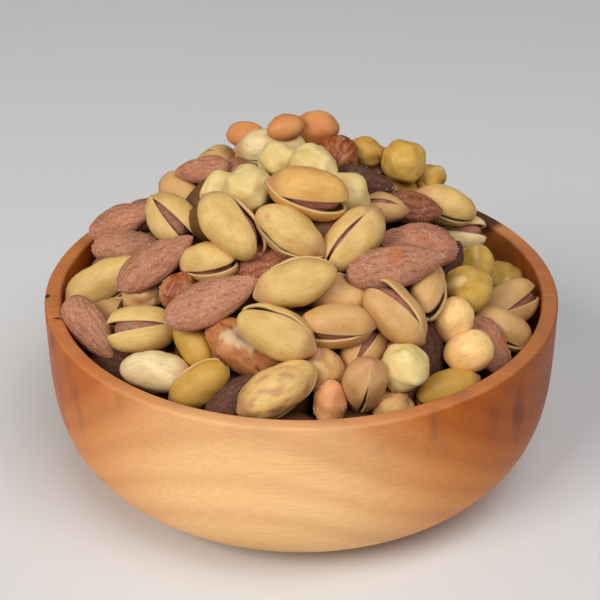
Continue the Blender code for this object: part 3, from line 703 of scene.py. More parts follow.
@dataclass(frozen=True)
class Layer:
    """A layer of nuts that is strewn by a rule.

    It holds the seed of the draws, the depth of the nuts' middles under the heap's surface, their
    least distance to each other and to the nuts that are there, in millimetres, the kinds in turn,
    how much of the mouth's radius is filled, how far the surface may face the eye, where 1 is
    everywhere, how many places are tried, and the share of the light that gets down there.
    """

    seed: int
    depth_mm: float
    spacing_mm: float
    distance_mm: float
    kinds: tuple[Kind, ...]
    edge: float = 1.0
    facing: float = 1.0
    tries: int = 700
    light: float = 1.0


# The hidden back of the heap, and two layers that show in the gaps between the nuts in view
BACK = Layer(12, 6.5, 11.6, 11.0, (P, A, P, B, P, A, C, S), edge=0.95, facing=0.05)
DEEP_KINDS = (P, P, A, P, B, P, A, S)
DEEP_LAYERS = (Layer(11, 14.0, 10.0, 8.6, DEEP_KINDS, light=0.15),
               Layer(13, 23.0, 11.0, 9.0, DEEP_KINDS, light=0.04))


@dataclass(frozen=True)
class Fineness:
    """How many points a nut has: along and across a shell half and across its inside, then along
    and around the other shapes."""

    shell: tuple[int, int, int]
    kernel: tuple[int, int]
    almond: tuple[int, int]
    round_nut: tuple[int, int]


IN_VIEW_FINENESS = Fineness((32, 24, 8), (26, 30), (42, 64), (30, 40))
BACK_FINENESS = Fineness((22, 15, 8), (26, 30), (42, 64), (30, 40))
DEEP_FINENESS = Fineness((10, 9, 4), (8, 10), (12, 14), (9, 12))


@dataclass
class Nut:
    """A nut laid in the heap: its place and axes, and how it may move while the heap settles.

    A nut in view has a sight line; "light" is the share of the light that gets down to it, and
    "furrow" how much deeper its shell's furrows are than usual, in millimetres.
    """

    kind: Kind
    sides: np.ndarray
    gap: float
    place: np.ndarray
    axes: np.ndarray
    inward: np.ndarray
    sight: np.ndarray | None
    tone: Tone
    salted: bool = False
    fine: bool = True
    light: float = 1.0
    furrow: float = 0.0

    def __post_init__(self) -> None:
        """Keep the first place as the home that the nut is drawn back to."""
        self.home = self.place.copy()

    @property
    def fineness(self) -> Fineness:
        """How finely the nut is drawn: in view, on the back or deep between the others."""
        if not self.fine:
            return DEEP_FINENESS
        return BACK_FINENESS if self.sight is None else IN_VIEW_FINENESS

    def balls(self, taper: float = 0.72, roundness: float = 1.25,
              flatness: float = 0.1) -> list[tuple[tuple[float, float, float], float]]:
        """Return the middles and radii of the balls that stand for the nut while it settles.

        Args:
            taper: radius of the end balls against the middle ones.
            roundness: below this length against its width, one ball stands for the nut.
            flatness: above this, two balls lie side by side in the nut's middle.

        Returns:
            A middle in the nut's own axes and a radius for each ball.
        """
        length, width, height = self.sides
        thick = 0.5 * min(width, height)
        if length < roundness * max(width, height):
            return [((0.0, 0.0, 0.0), (length + width + height) / 6.0)]
        end = taper * thick
        side = 0.5 * width - thick
        found = [((0.5 * length - end, 0.0, 0.0), end), ((end - 0.5 * length, 0.0, 0.0), end)]
        if side > flatness * thick:
            return found + [((0.0, side, 0.0), thick), ((0.0, -side, 0.0), thick)]
        return found + [((0.0, 0.0, 0.0), 0.25 * (width + height))]


@dataclass(frozen=True)
class Eye:
    """The photo's viewpoint: the camera stands here, and the nuts in view are laid out from it."""

    aim: tuple[float, float, float] = (-0.4 * MM, 0.0, 51.3 * MM)
    elevation: float = math.radians(30.0)
    distance: float = 450.0 * MM
    focal_px: float = 1517.0
    picture_px: float = 600.0
    sensor_mm: float = 36.0

    @property
    def forward(self) -> np.ndarray:
        """The way the eye looks."""
        return np.array([0.0, math.cos(self.elevation), -math.sin(self.elevation)])

    @property
    def right(self) -> np.ndarray:
        """The picture's right."""
        return np.array([1.0, 0.0, 0.0])

    @property
    def up(self) -> np.ndarray:
        """The picture's up."""
        return np.array([0.0, math.sin(self.elevation), math.cos(self.elevation)])

    @property
    def place(self) -> np.ndarray:
        """Where the eye is."""
        return np.array(self.aim) - self.distance * self.forward

    def sight(self, column: float, row: float) -> np.ndarray:
        """Return the direction through a place in the picture.

        Args:
            column: the place's column in pixels.
            row: its row in pixels.

        Returns:
            A unit vector.
        """
        middle = 0.5 * self.picture_px
        across = self.right * (column - middle) + self.up * (middle - row)
        direction = self.forward * self.focal_px + across
        return direction / np.linalg.norm(direction)


@dataclass(frozen=True)
class BowlForm:
    """The bowl's turned form, from its CAD box and a few driving sizes."""

    height: float
    rim_radius: float
    rim_width: float = 4.8 * MM
    foot_radius: float = 35.0 * MM
    floor: float = 7.5 * MM
    inner_floor_radius: float = 28.0 * MM
    side_power: float = 0.966
    rise_power: float = 0.44

    @property
    def mouth_radius(self) -> float:
        """Radius of the mouth."""
        return self.rim_radius - self.rim_width

    def side(self, step: np.ndarray, low_radius: float, high_radius: float, low_z: float,
             high_z: float) -> np.ndarray:
        """Return radius and height along a side of the bowl.

        Args:
            step: places along the side, from its floor at 0 to its rim at 1.
            low_radius: its radius at the floor.
            high_radius: its radius at the rim.
            low_z: its height at the floor.
            high_z: its height at the rim.

        Returns:
            A row of radius and height for each place.
        """
        angle = 0.5 * math.pi * step
        radius = low_radius + (high_radius - low_radius) * np.sin(angle) ** self.side_power
        rise = 1.0 - np.maximum(np.cos(angle), 0.0) ** self.rise_power
        return np.column_stack([radius, low_z + (high_z - low_z) * rise])

    def wall_radius(self, z: float) -> float:
        """Return the radius of the bowl's hollow.

        Args:
            z: the height.

        Returns:
            The radius at that height.
        """
        rise = min(max((z - self.floor) / (self.height - self.floor), 0.0), 1.0)
        cosine = (1.0 - rise) ** (1.0 / self.rise_power)
        sine = math.sqrt(1.0 - cosine * cosine)
        widening = (self.mouth_radius - self.inner_floor_radius) * sine ** self.side_power
        return self.inner_floor_radius + widening


@dataclass(frozen=True)
class HeapForm:
    """The heap's outer surface: a dome over the mouth that sags at the back right."""

    bowl: BowlForm
    peak: float = 50.0 * MM
    power: float = 1.7
    hollow_place: tuple[float, float] = (54.0 * MM, 40.0 * MM)
    hollow_depth: float = 9.0 * MM
    hollow_spread: float = 15.0 * MM
    axis_clearance: float = 0.01 * MM
    search_from: float = 300.0 * MM
    search_to: float = 600.0 * MM
    search_step: float = 0.5 * MM

    def hollow(self, x: float, y: float) -> float:
        """Return how far the heap sags."""
        away = math.hypot(x - self.hollow_place[0], y - self.hollow_place[1])
        return self.hollow_depth * math.exp(-0.5 * (away / self.hollow_spread) ** 2)

    def height(self, x: float, y: float) -> float:
        """Return the height of the heap's surface.

        Args:
            x: the point's place across the view.
            y: its place along the view.

        Returns:
            The surface's height over that point.
        """
        share = min(math.hypot(x, y) / self.bowl.mouth_radius, 1.0)
        return self.bowl.height + self.peak * (1.0 - share ** self.power) - self.hollow(x, y)

    def normal(self, x: float, y: float) -> np.ndarray:
        """Return the outward direction of the surface, its sag left out.

        Args:
            x: the point's place across the view.
            y: its place along the view.

        Returns:
            A unit vector.
        """
        radius = max(math.hypot(x, y), self.axis_clearance)
        share = min(radius / self.bowl.mouth_radius, 1.0)
        slope = self.peak * self.power * share ** (self.power - 1.0) / self.bowl.mouth_radius
        normal = np.array([slope * x / radius, slope * y / radius, 1.0])
        return normal / np.linalg.norm(normal)

    def place_under(self, eye: Eye, column: float, row: float, depth: float) -> np.ndarray:
        """Return where a sight line first comes to a depth under the surface, or nearest it.

        Args:
            eye: the eye that the line starts from.
            column: the line's column in the picture.
            row: its row.
            depth: the depth.

        Returns:
            The place.
        """
        direction = eye.sight(column, row)
        best_place = eye.place
        best_miss = math.inf
        for along in np.arange(self.search_from, self.search_to, self.search_step):
            place = eye.place + along * direction
            over = place[2] - self.height(place[0], place[1])
            miss = over * self.normal(place[0], place[1])[2] + depth
            if miss < best_miss:
                best_place = place
                best_miss = miss
            if miss <= 0.0 or miss > best_miss + self.search_step:
                break
        return best_place


def turned_axes(along: np.ndarray, outward: np.ndarray, roll: float, pitch: float) -> np.ndarray:
    """Return a nut's axes as columns: tip along X, broad faces on Z, after its pitch and roll.

    Args:
        along: the way the tip points.
        outward: the way a broad face looks before the roll.
        roll: turn about the length, in degrees.
        pitch: lift of the tip, in degrees.

    Returns:
        A 3 by 3 matrix.
    """
    x_axis = along / np.linalg.norm(along)
    z_axis = outward - x_axis * (outward @ x_axis)
    z_axis /= np.linalg.norm(z_axis)
    lift = math.radians(pitch)
    x_axis, z_axis = (math.cos(lift) * x_axis + math.sin(lift) * z_axis,
                      math.cos(lift) * z_axis - math.sin(lift) * x_axis)
    y_axis = np.cross(z_axis, x_axis)
    spin = math.radians(roll)
    y_turned = math.cos(spin) * y_axis + math.sin(spin) * z_axis
    z_turned = math.cos(spin) * z_axis - math.sin(spin) * y_axis
    return np.column_stack([x_axis, y_turned, z_turned])


@dataclass
class Settler:
    """Lays the nuts and pushes them apart until they only touch, as they do in the solid heap."""

    eye: Eye
    heap: HeapForm
    outward_share: float = 0.55
    core_depth: float = 14.5 * MM
    gap: float = 0.45 * MM
    rate: float = 0.35
    homing: float = 0.03
    sinking: float = 0.03 * MM
    bedding: float = 4.5 * MM
    sight_limit: float = 9.0 * MM
    sideways_limit: float = 1.6 * MM
    filler_limit: float = 9.0 * MM
    rest_steps: int = 40
    rest_step: float = 0.2 * MM
    rest_overlap: float = 0.6 * MM
    bowl_push: float = 2.0
    tilt_limit: float = 1.2
    strewn_roll: float = 90.0
    strewn_pitch: float = 15.0
    strewn_gaps: tuple[float, float] = (3.0, 12.0)
    strewn_sizes: tuple[float, float] = (0.9, 1.1)

    def lay(self, entry: Seen) -> Nut:
        """Place one nut in view, so that it shows at its place and angle in the picture.

        Args:
            entry: how the nut shows in the picture.

        Returns:
            The nut in its place.
        """
        place = self.heap.place_under(self.eye, entry.column, entry.row, entry.depth * MM)
        direction = self.eye.sight(entry.column, entry.row)
        normal = self.heap.normal(place[0], place[1])
        outward = self.outward_share * normal - (1.0 - self.outward_share) * direction
        outward /= np.linalg.norm(outward)
        turn = math.radians(entry.turn)
        flat = math.cos(turn) * self.eye.right + math.sin(turn) * self.eye.up
        tilt = -(flat @ outward) / (direction @ outward)
        tilt = min(max(tilt, -self.tilt_limit), self.tilt_limit)
        axes = turned_axes(flat + tilt * direction, outward, entry.roll, entry.pitch)
        sides = entry.kind.sides(entry.size, entry.long)
        tone = entry.tone or USUAL_TONE[entry.kind]
        return Nut(entry.kind, sides, entry.gap, place, axes, -normal, direction, tone, entry.salted,
                   furrow=entry.furrow)

    def fill(self, placed: list[Nut], layer: Layer) -> list[Nut]:
        """Return seeded nuts, spread by the golden angle, where those already placed leave room.

        Args:
            placed: the nuts that are there.
            layer: the rule for the new ones.

        Returns:
            The new nuts.
        """
        draw = random.Random(layer.seed)
        found: list[Nut] = []
        for number in range(layer.tries):
            radius = self.heap.bowl.mouth_radius * layer.edge * math.sqrt((number + 0.5) / layer.tries)
            x = radius * math.cos(number * GOLDEN_ANGLE)
            y = radius * math.sin(number * GOLDEN_ANGLE)
            outward = self.heap.normal(x, y)
            if outward @ -self.eye.forward > layer.facing:
                continue
            place = np.array([x, y, self.heap.height(x, y)]) - layer.depth_mm * MM * outward
            near_placed = any(np.linalg.norm(place - other.place) < layer.distance_mm * MM
                              for other in placed)
            if near_placed or any(np.linalg.norm(place - other.place) < layer.spacing_mm * MM
                                  for other in found):
                continue
            kind = layer.kinds[len(found) % len(layer.kinds)]
            heading = draw.uniform(0.0, 2.0 * math.pi)
            along = np.array([math.cos(heading), math.sin(heading), 0.0])
            axes = turned_axes(along - outward * (along @ outward), outward,
                               draw.uniform(-self.strewn_roll, self.strewn_roll),
                               draw.uniform(-self.strewn_pitch, self.strewn_pitch))
            gap = draw.uniform(*self.strewn_gaps)
            sides = kind.sides(draw.uniform(*self.strewn_sizes), 1.0)
            found.append(Nut(kind, sides, gap, place, axes, -outward, None, USUAL_TONE[kind],
                             light=layer.light))
        return found

    def push_off_core(self, place: np.ndarray, radius: float) -> np.ndarray:
        """Return the move that lifts a ball out of the core, apart from the little it beds in.

        Args:
            place: the ball's middle.
            radius: its radius.

        Returns:
            The move.
        """
        normal = self.heap.normal(place[0], place[1])
        clear = (place[2] - self.heap.height(place[0], place[1])) * normal[2] + self.core_depth
        return normal * max(radius - self.bedding - clear, 0.0)

    def push_off_bowl(self, place: np.ndarray, radius: float) -> np.ndarray:
        """Return the move that takes a ball clear of the bowl's wall and rim.

        Args:
            place: the ball's middle.
            radius: its radius.

        Returns:
            The move.
        """
        bowl = self.heap.bowl
        away = math.hypot(place[0], place[1])
        if place[2] > bowl.height:
            offset = np.array([away - max(away, bowl.mouth_radius), place[2] - bowl.height])
        else:
            offset = np.array([away - bowl.wall_radius(place[2]), 0.0])
            if offset[0] >= 0.0:
                return np.array([-place[0], -place[1], 0.0]) / away * (offset[0] + radius + self.gap)
        distance = np.linalg.norm(offset)
        short = radius + self.gap - distance
        if short <= 0.0:
            return np.zeros(3)
        offset = offset / distance * short
        return np.array([offset[0] * place[0] / away, offset[0] * place[1] / away, offset[1]])

    @staticmethod
    def shortened(move: np.ndarray, limit: float) -> np.ndarray:
        """Return a move, cut down to a limit."""
        length = np.linalg.norm(move)
        return move * (limit / length) if length > limit else move

    def limited(self, move: np.ndarray, sight: np.ndarray | None) -> np.ndarray:
        """Return a nut's move from home, kept small across the sight line if it is in view.

        Args:
            move: the whole move.
            sight: the nut's sight line, if it is in view.

        Returns:
            The move that is allowed.
        """
        if sight is None:
            return self.shortened(move, self.filler_limit)
        ahead = (move @ sight) * sight
        sideways = self.shortened(move - ahead, self.sideways_limit)
        return self.shortened(ahead, self.sight_limit) + sideways

    def settle(self, nuts: list[Nut], held: int = 0, rounds: int = 300) -> None:
        """Push overlapping nuts apart. Those in view move mainly along their own sight line.

        Args:
            nuts: the nuts; their places change.
            held: how many of the first nuts stay where they are.
            rounds: how often all are pushed.
        """
        owners, offsets, radii = [], [], []
        for index, nut in enumerate(nuts):
            for middle, radius in nut.balls():
                owners.append(index)
                offsets.append(nut.axes @ np.array(middle))
                radii.append(radius)
        owners, offsets, radii = np.array(owners), np.array(offsets), np.array(radii)
        sinking = self.sinking * np.array([nut.inward for nut in nuts])
        homes = np.array([nut.home for nut in nuts])
        places = np.array([nut.place for nut in nuts])
        strangers = owners[:, None] != owners[None, :]
        reach = radii[:, None] + radii[None, :]
        for _ in range(rounds):
            balls = places[owners] + offsets
            between = balls[:, None, :] - balls[None, :, :]
            distance = np.linalg.norm(between, axis=2) + TINY
            overlap = np.where(strangers, np.maximum(reach - distance, 0.0), 0.0)
            pushes = (between / distance[:, :, None] * overlap[:, :, None]).sum(axis=1)
            for number, ball in enumerate(balls):
                if owners[number] < held:
                    continue
                pushes[number] += self.bowl_push * self.push_off_bowl(ball, radii[number])
                if not held:
                    pushes[number] += self.push_off_core(ball, radii[number])
            moves = np.zeros_like(places)
            np.add.at(moves, owners, pushes)
            places[held:] += (self.rate * moves + sinking + self.homing * (homes - places))[held:]
            for index in range(held, len(nuts)):
                move = self.limited(places[index] - homes[index], nuts[index].sight)
                places[index] = homes[index] + move
        if not held:
            for index, nut in enumerate(nuts):
                self.rest(index, places, nut.inward, owners, offsets, radii)
        for nut, place in zip(nuts, places):
            nut.place = place

    def rest(self, index: int, places: np.ndarray, inward: np.ndarray, owners: np.ndarray,
             offsets: np.ndarray, radii: np.ndarray) -> None:
        """Move one nut inward in small steps until it touches the core or another nut.

        Args:
            index: the nut's number.
            places: all the nuts' places, of which this one's changes.
            inward: the way into the heap.
            owners: the number of each ball's nut.
            offsets: each ball's middle from its nut's.
            radii: the balls' radii.
        """
        own = owners == index
        for _ in range(self.rest_steps):
            balls = places[owners] + offsets
            between = np.linalg.norm(balls[own][:, None, :] - balls[~own][None, :, :], axis=2)
            gaps = between - radii[own][:, None] - radii[~own][None, :]
            bedded = any(self.push_off_core(ball, radius + self.bedding - self.rest_overlap).any()
                         for ball, radius in zip(balls[own], radii[own]))
            if bedded or gaps.min() < -self.rest_overlap:
                return
            places[index] += inward * self.rest_step


def lumps(points: np.ndarray, wavelength: float, seed: int, waves: int = 7,
          spread: tuple[float, float] = (0.7, 1.5)) -> np.ndarray:
    """Return smooth seeded lumps, of about -1 to 1, at points in millimetres.

    Args:
        points: the points.
        wavelength: the lumps' distance in millimetres.
        seed: seed of the draws.
        waves: how many waves are laid over each other.
        spread: the shortest and longest wave against the lumps' distance.

    Returns:
        One value for each point.
    """
    draw = np.random.default_rng(seed)
    directions = draw.normal(size=(waves, 3))
    directions /= np.linalg.norm(directions, axis=1)[:, None]
    steps = 2.0 * math.pi / (wavelength * draw.uniform(*spread, waves))
    phases = draw.uniform(0.0, 2.0 * math.pi, waves)
    return np.sin(points @ (directions * steps[:, None]).T + phases).sum(axis=1) / math.sqrt(waves)


def smooth(values: np.ndarray, low: float, high: float) -> np.ndarray:
    """Return a smooth step of the values.

    Args:
        values: the values.
        low: where the step is 0.
        high: where it is 1.

    Returns:
        A share of 0 to 1 for each value.
    """
    share = np.clip((values - low) / (high - low), 0.0, 1.0)
    return share * share * (3.0 - 2.0 * share)


@dataclass
class Form:
    """One small closed form in its own axes, in millimetres: rings along X with a point at each end."""

    points: np.ndarray
    marks: np.ndarray
    stations: int
    around: int
    own: np.ndarray

    def faces(self) -> tuple[np.ndarray, np.ndarray]:
        """Return the quads between the rings and the triangles at the ends."""
        i = np.arange(self.stations - 1)[:, None] * self.around
        j = np.arange(self.around)[None, :]
        k = (j + 1) % self.around
        quads = np.stack([i + j, i + k, i + self.around + k, i + self.around + j], axis=-1)
        quads = quads.reshape(-1, 4)
        first = self.stations * self.around
        last = (self.stations - 1) * self.around
        j, k = j[0], k[0]
        start = np.column_stack([np.full_like(j, first), k, j])
        end = np.column_stack([np.full_like(j, first + 1), last + j, last + k])
        return quads, np.vstack([start, end])


def ring_form(rings: np.ndarray, marks: np.ndarray, own: np.ndarray | None = None) -> Form:
    """Close a stack of rings into a form, with a point in the middle of each end ring.

    Args:
        rings: stations by points by 3, in millimetres.
        marks: the masks of each point, in the same layout.
        own: the point's place for its pattern, if it isn't the point itself.

    Returns:
        The form.
    """
    own = rings if own is None else own
    stations, around = rings.shape[:2]

    def flat(values: np.ndarray) -> np.ndarray:
        """Lay the rings out in one list, with the middles of the end rings after them."""
        ends = [values[0].mean(axis=0), values[-1].mean(axis=0)]
        return np.vstack([values.reshape(-1, 3), ends])

    return Form(flat(rings), flat(marks), stations, around, flat(own))


@dataclass(frozen=True)
class Waviness:
    """Seeded lumps: their distance and depth in millimetres, and what sets them off from others."""

    distance: float
    depth: float
    shift: int = 0


@dataclass(frozen=True)
class ShellShape:
    """A pistachio's shell: lengths in millimetres, places along it from -1 at the stem to 1."""

    thickness: float = 0.85
    bluntness: float = 2.3
    fullness: float = 0.52
    taper: float = 0.08
    edge_crowding: float = 0.3
    split: float = 0.25
    split_per_degree: float = 0.012
    split_end: tuple[float, float] = (-0.85, -0.3)
    split_most: float = 0.95
    keel: float = 0.035
    keel_width: float = 0.16
    keel_end: tuple[float, float] = (-0.9, 0.6)
    furrows: float = 3.5
    furrow_warp: Waviness = Waviness(7.0, 1.0, 6)
    furrow_patches: Waviness = Waviness(5.0, 1.0, 8)
    furrow_levels: tuple[float, float] = (-0.8, 0.6)
    furrow_fade: float = 0.4
    furrow_depth: float = 0.06
    furrow_more: float = 0.12
    furrow_mark: float = 4.0
    broad: Waviness = Waviness(9.0, 0.22)
    grain: Waviness = Waviness(3.2, 0.05, 1)
    beak: float = 1.15
    beak_girth: float = 1.7
    inside_least: float = 0.35
    stem_mark: tuple[float, float] = (0.45, 0.95)
    stem_share: float = 0.75
    lip_width: float = 0.05
    swing_share: float = 0.58
    pivot: float = -0.6
    pattern_shift: tuple[float, float, float] = (0.0, 40.0, 0.0)


@dataclass(frozen=True)
class KernelShape:
    """A pistachio's kernel: its sides against the shell's, and lengths in millimetres."""

    sides: tuple[float, float, float] = (0.84, 0.80, 0.84)
    bluntness: float = 2.4
    fullness: float = 0.5
    taper: float = 0.06
    wrinkles: float = 6.0
    wrinkle_depth: float = 0.45
    warp: Waviness = Waviness(9.0, 1.3, 2)
    broad: Waviness = Waviness(6.0, 0.25)
    setback: float = 0.05


@dataclass(frozen=True)
class AlmondShape:
    """An almond with a coarse and a fine set of long wrinkles; lengths in millimetres."""

    girth: float = 0.975
    blunt_power: float = 0.5
    tip_power: float = 0.72
    folds: float = 7.0
    fold_twist: float = 1.2
    fold_depth: float = 0.09
    fine_folds: float = 15.0
    fine_warp: float = 1.7
    fine_depth: float = 0.06
    fade: float = 0.35
    warp: Waviness = Waviness(6.0, 0.9, 2)
    broad: Waviness = Waviness(8.0, 0.2)
    grain: Waviness = Waviness(2.2, 0.08, 4)
    bend: float = 0.35
    bend_waves: float = 2.2
    dusted_levels: tuple[float, float] = (0.35, 0.95)
    bare: Waviness = Waviness(9.0, 1.0, 5)
    bare_levels: tuple[float, float] = (1.1, 1.7)
    creased_levels: tuple[float, float] = (0.7, 1.0)


@dataclass(frozen=True)
class RoundShape:
    """A round nut: the depth and distance of its lumps and the depth of its creases in
    millimetres, and how far its one end is drawn to a point, from 0 to 1."""

    lump: float
    lump_distance: float
    crease: float
    tip: float
    tip_pull: float = 0.35
    creases: float = 2.5
    crease_power: int = 5
    fade: float = 0.4
    warp: Waviness = Waviness(8.0, 1.4, 2)
    grain: Waviness = Waviness(2.6, 0.06, 3)
    crown_levels: tuple[float, float] = (0.5, 1.6)
    bald_middle: tuple[float, float, float] = (-0.15, 0.1, 0.98)
    bald_size: tuple[float, float, float] = (6.0, 2.6, 3.2)
    bald_edge: Waviness = Waviness(3.0, 0.25, 9)
    bald_levels: tuple[float, float] = (-1.15, -0.65)


ROUND_SHAPES = {Kind.BLANCHED: RoundShape(0.42, 6.0, 0.6, 0.4),
                Kind.SKIN_ON: RoundShape(0.3, 7.0, 0.5, 0.3),
                Kind.PEANUT: RoundShape(0.3, 7.0, 0.1, 0.2),
                Kind.CHICKPEA: RoundShape(0.45, 5.5, 0.7, 0.6)}
PILE_OF = {Kind.ALMOND: "almonds", Kind.BLANCHED: "blanched_hazelnuts",
           Kind.SKIN_ON: "hazelnuts_in_skin", Kind.PEANUT: "roasted_peanuts",
           Kind.CHICKPEA: "roasted_chickpeas"}


class NutMaker:
    """Models each kind of nut at true size, no two alike."""

    def __init__(self, nut: Nut, lot: int) -> None:
        """Start on one nut.

        Args:
            nut: the nut.
            lot: its number, which seeds its shape.
        """
        self.nut = nut
        self.lot = lot
        self.half = 0.5 * nut.sides / MM
        self.draw = random.Random(NUT_SEED + lot)

    def stations(self, count: int) -> np.ndarray:
        """Return places along the length from -1 to 1, closer at the ends."""
        return -np.cos(math.pi * (np.arange(count) + 0.5) / count)

    def angles(self, around: int) -> np.ndarray:
        """Return the angles of the points of a ring."""
        return np.linspace(0.0, 2.0 * math.pi, around, endpoint=False)[None, :]

    def ovoid(self, count: int, around: int, profile: np.ndarray, half: np.ndarray) -> np.ndarray:
        """Return rings of an egg whose girth along its length follows a profile.

        Args:
            count: how many rings there are.
            around: how many points a ring has.
            profile: each ring's girth against the greatest.
            half: half the egg's length, width and height.

        Returns:
            Rings by points by 3, in millimetres.
        """
        u = self.stations(count)[:, None]
        angle = self.angles(around)
        x = half[0] * u + 0.0 * angle
        y = half[1] * profile[:, None] * np.cos(angle)
        z = half[2] * profile[:, None] * np.sin(angle)
        return np.stack([x, y, z], axis=-1)

    def swell(self, rings: np.ndarray, amount: np.ndarray, core: float = 0.55) -> np.ndarray:
        """Push the rings' points out from the nut's middle line.

        Args:
            rings: the rings.
            amount: how far each point goes, in millimetres.
            core: the middle line's length against the nut's.

        Returns:
            The new rings.
        """
        middle = rings * np.array([core, 0.0, 0.0])
        out = rings - middle
        length = np.linalg.norm(out, axis=-1, keepdims=True) + TINY
        return rings + out / length * amount[..., None]

    def lumpy(self, rings: np.ndarray, waviness: Waviness) -> np.ndarray:
        """Work out lumps over the rings' points.

        Args:
            rings: the rings.
            waviness: the lumps.

        Returns:
            Each point's height in millimetres.
        """
        seed = self.lot * LUMP_SEEDS + waviness.shift
        heights = lumps(rings.reshape(-1, 3), waviness.distance, seed)
        return waviness.depth * heights.reshape(rings.shape[:2])

    def shell_half(self, side: int, shape: ShellShape = ShellShape()) -> Form:
        """Model one half of a pistachio's shell, opened about its stem end.

        Args:
            side: 1 for the half on +Y, -1 for the other.
            shape: what it is drawn with.

        Returns:
            The half, with masks for stem end, lips and the inside's painted shade.
        """
        stations, across, inside = self.nut.fineness.shell
        a, b, c = self.half
        u = self.stations(stations)[:, None]
        profile = (1.0 - np.abs(u) ** shape.bluntness) ** shape.fullness * (1.0 - shape.taper * u)
        t = np.linspace(-1.0, 1.0, across)[None, :]
        t = t * (1.0 + shape.edge_crowding - shape.edge_crowding * t * t)
        # The split runs in from the tip and ends before the stem, where the halves are one
        recess = (shape.split + shape.split_per_degree * self.nut.gap) * (1.0 - u * u)
        recess = recess * smooth(u, *shape.split_end)
        phi = np.arccos(np.clip(recess / (b * profile), 0.0, shape.split_most)) * t
        ridge = np.exp(-((np.abs(phi) - 0.5 * math.pi) / shape.keel_width) ** 2)
        keel = 1.0 + shape.keel * ridge * smooth(-u, *shape.keel_end)
        outer = np.stack([a * u + 0.0 * phi, b * profile * np.cos(phi),
                          c * profile * np.sin(phi) * keel], axis=-1)
        warp = self.lumpy(outer, shape.furrow_warp)
        furrow = (1.0 - np.abs(np.sin(shape.furrows * phi + warp))) ** 2
        furrow = furrow * smooth(1.0 - np.abs(u), 0.0, shape.furrow_fade)
        furrow = furrow * smooth(self.lumpy(outer, shape.furrow_patches), *shape.furrow_levels)
        # The cube makes deeply furrowed shells rare
        deep = shape.furrow_depth + shape.furrow_more * self.draw.random() ** 3 + self.nut.furrow
        bumps = self.lumpy(outer, shape.broad) + self.lumpy(outer, shape.grain)
        outer = self.swell(outer, bumps - deep * furrow)
        beak = np.exp(-(profile * min(b, c) / shape.beak_girth) ** 2) * (u < 0.0)
        outer[..., 0] -= shape.beak * beak
        inner = outer * np.array([(half - shape.thickness) / half for half in self.half])
        inner[..., 1] = np.maximum(inner[..., 1], outer[..., 1] * shape.inside_least)
        kept = np.round(np.linspace(across - 1, 0, inside)).astype(int)
        rings = np.concatenate([outer, inner[:, kept]], axis=1)
        stem = smooth(-u, *shape.stem_mark) * (shape.stem_share + (1.0 - shape.stem_share) * beak)
        stem = np.maximum(stem + 0.0 * phi, shape.furrow_mark * deep * furrow)
        lip = np.exp(-((1.0 - np.abs(t)) / shape.lip_width) ** 2) + 0.0 * u
        zero = np.zeros_like(lip)
        outer_marks = np.stack([np.minimum(stem, 1.0), lip, zero], axis=-1)
        # The third mask marks the inside, which the finish paints dark brown: painted shade in the
        # shell's hollow
        inner_marks = np.stack([zero, lip, 1.0 - lip], axis=-1)
        marks = np.concatenate([outer_marks, inner_marks[:, kept]], axis=1)
        own = rings.copy()
        if side < 0:
            rings = rings * np.array([1.0, -1.0, -1.0])
            own = own + np.array(shape.pattern_shift)
        return ring_form(self.opened(rings, side, shape), marks, own)

    def opened(self, rings: np.ndarray, side: int, shape: ShellShape) -> np.ndarray:
        """Swing a shell half open about a point near its stem.

        Args:
            rings: the half's rings.
            side: 1 for the half on +Y, -1 for the other.
            shape: what it is drawn with.

        Returns:
            The rings in their open place.
        """
        swing = math.radians(shape.swing_share * self.nut.gap) * side
        pivot = np.array([shape.pivot * self.half[0], 0.0, 0.0])
        turn = np.array([[math.cos(swing), -math.sin(swing), 0.0],
                         [math.sin(swing), math.cos(swing), 0.0], [0.0, 0.0, 1.0]])
        return (rings - pivot) @ turn.T + pivot

    def kernel(self, shape: KernelShape = KernelShape()) -> Form:
        """Model the pistachio's kernel: a blunt egg with long wrinkles.

        Args:
            shape: what it is drawn with.

        Returns:
            The form, without marks.
        """
        count, around = self.nut.fineness.kernel
        u = self.stations(count)
        profile = (1.0 - np.abs(u) ** shape.bluntness) ** shape.fullness * (1.0 - shape.taper * u)
        rings = self.ovoid(count, around, profile, self.half * np.array(shape.sides))
        warp = self.lumpy(rings, shape.warp)
        wrinkle = 1.0 - np.abs(np.sin(shape.wrinkles * self.angles(around) + warp))
        rings = self.swell(rings, self.lumpy(rings, shape.broad) - shape.wrinkle_depth * wrinkle ** 3)
        rings[..., 0] -= shape.setback * self.half[0]
        return ring_form(rings, np.zeros_like(rings))

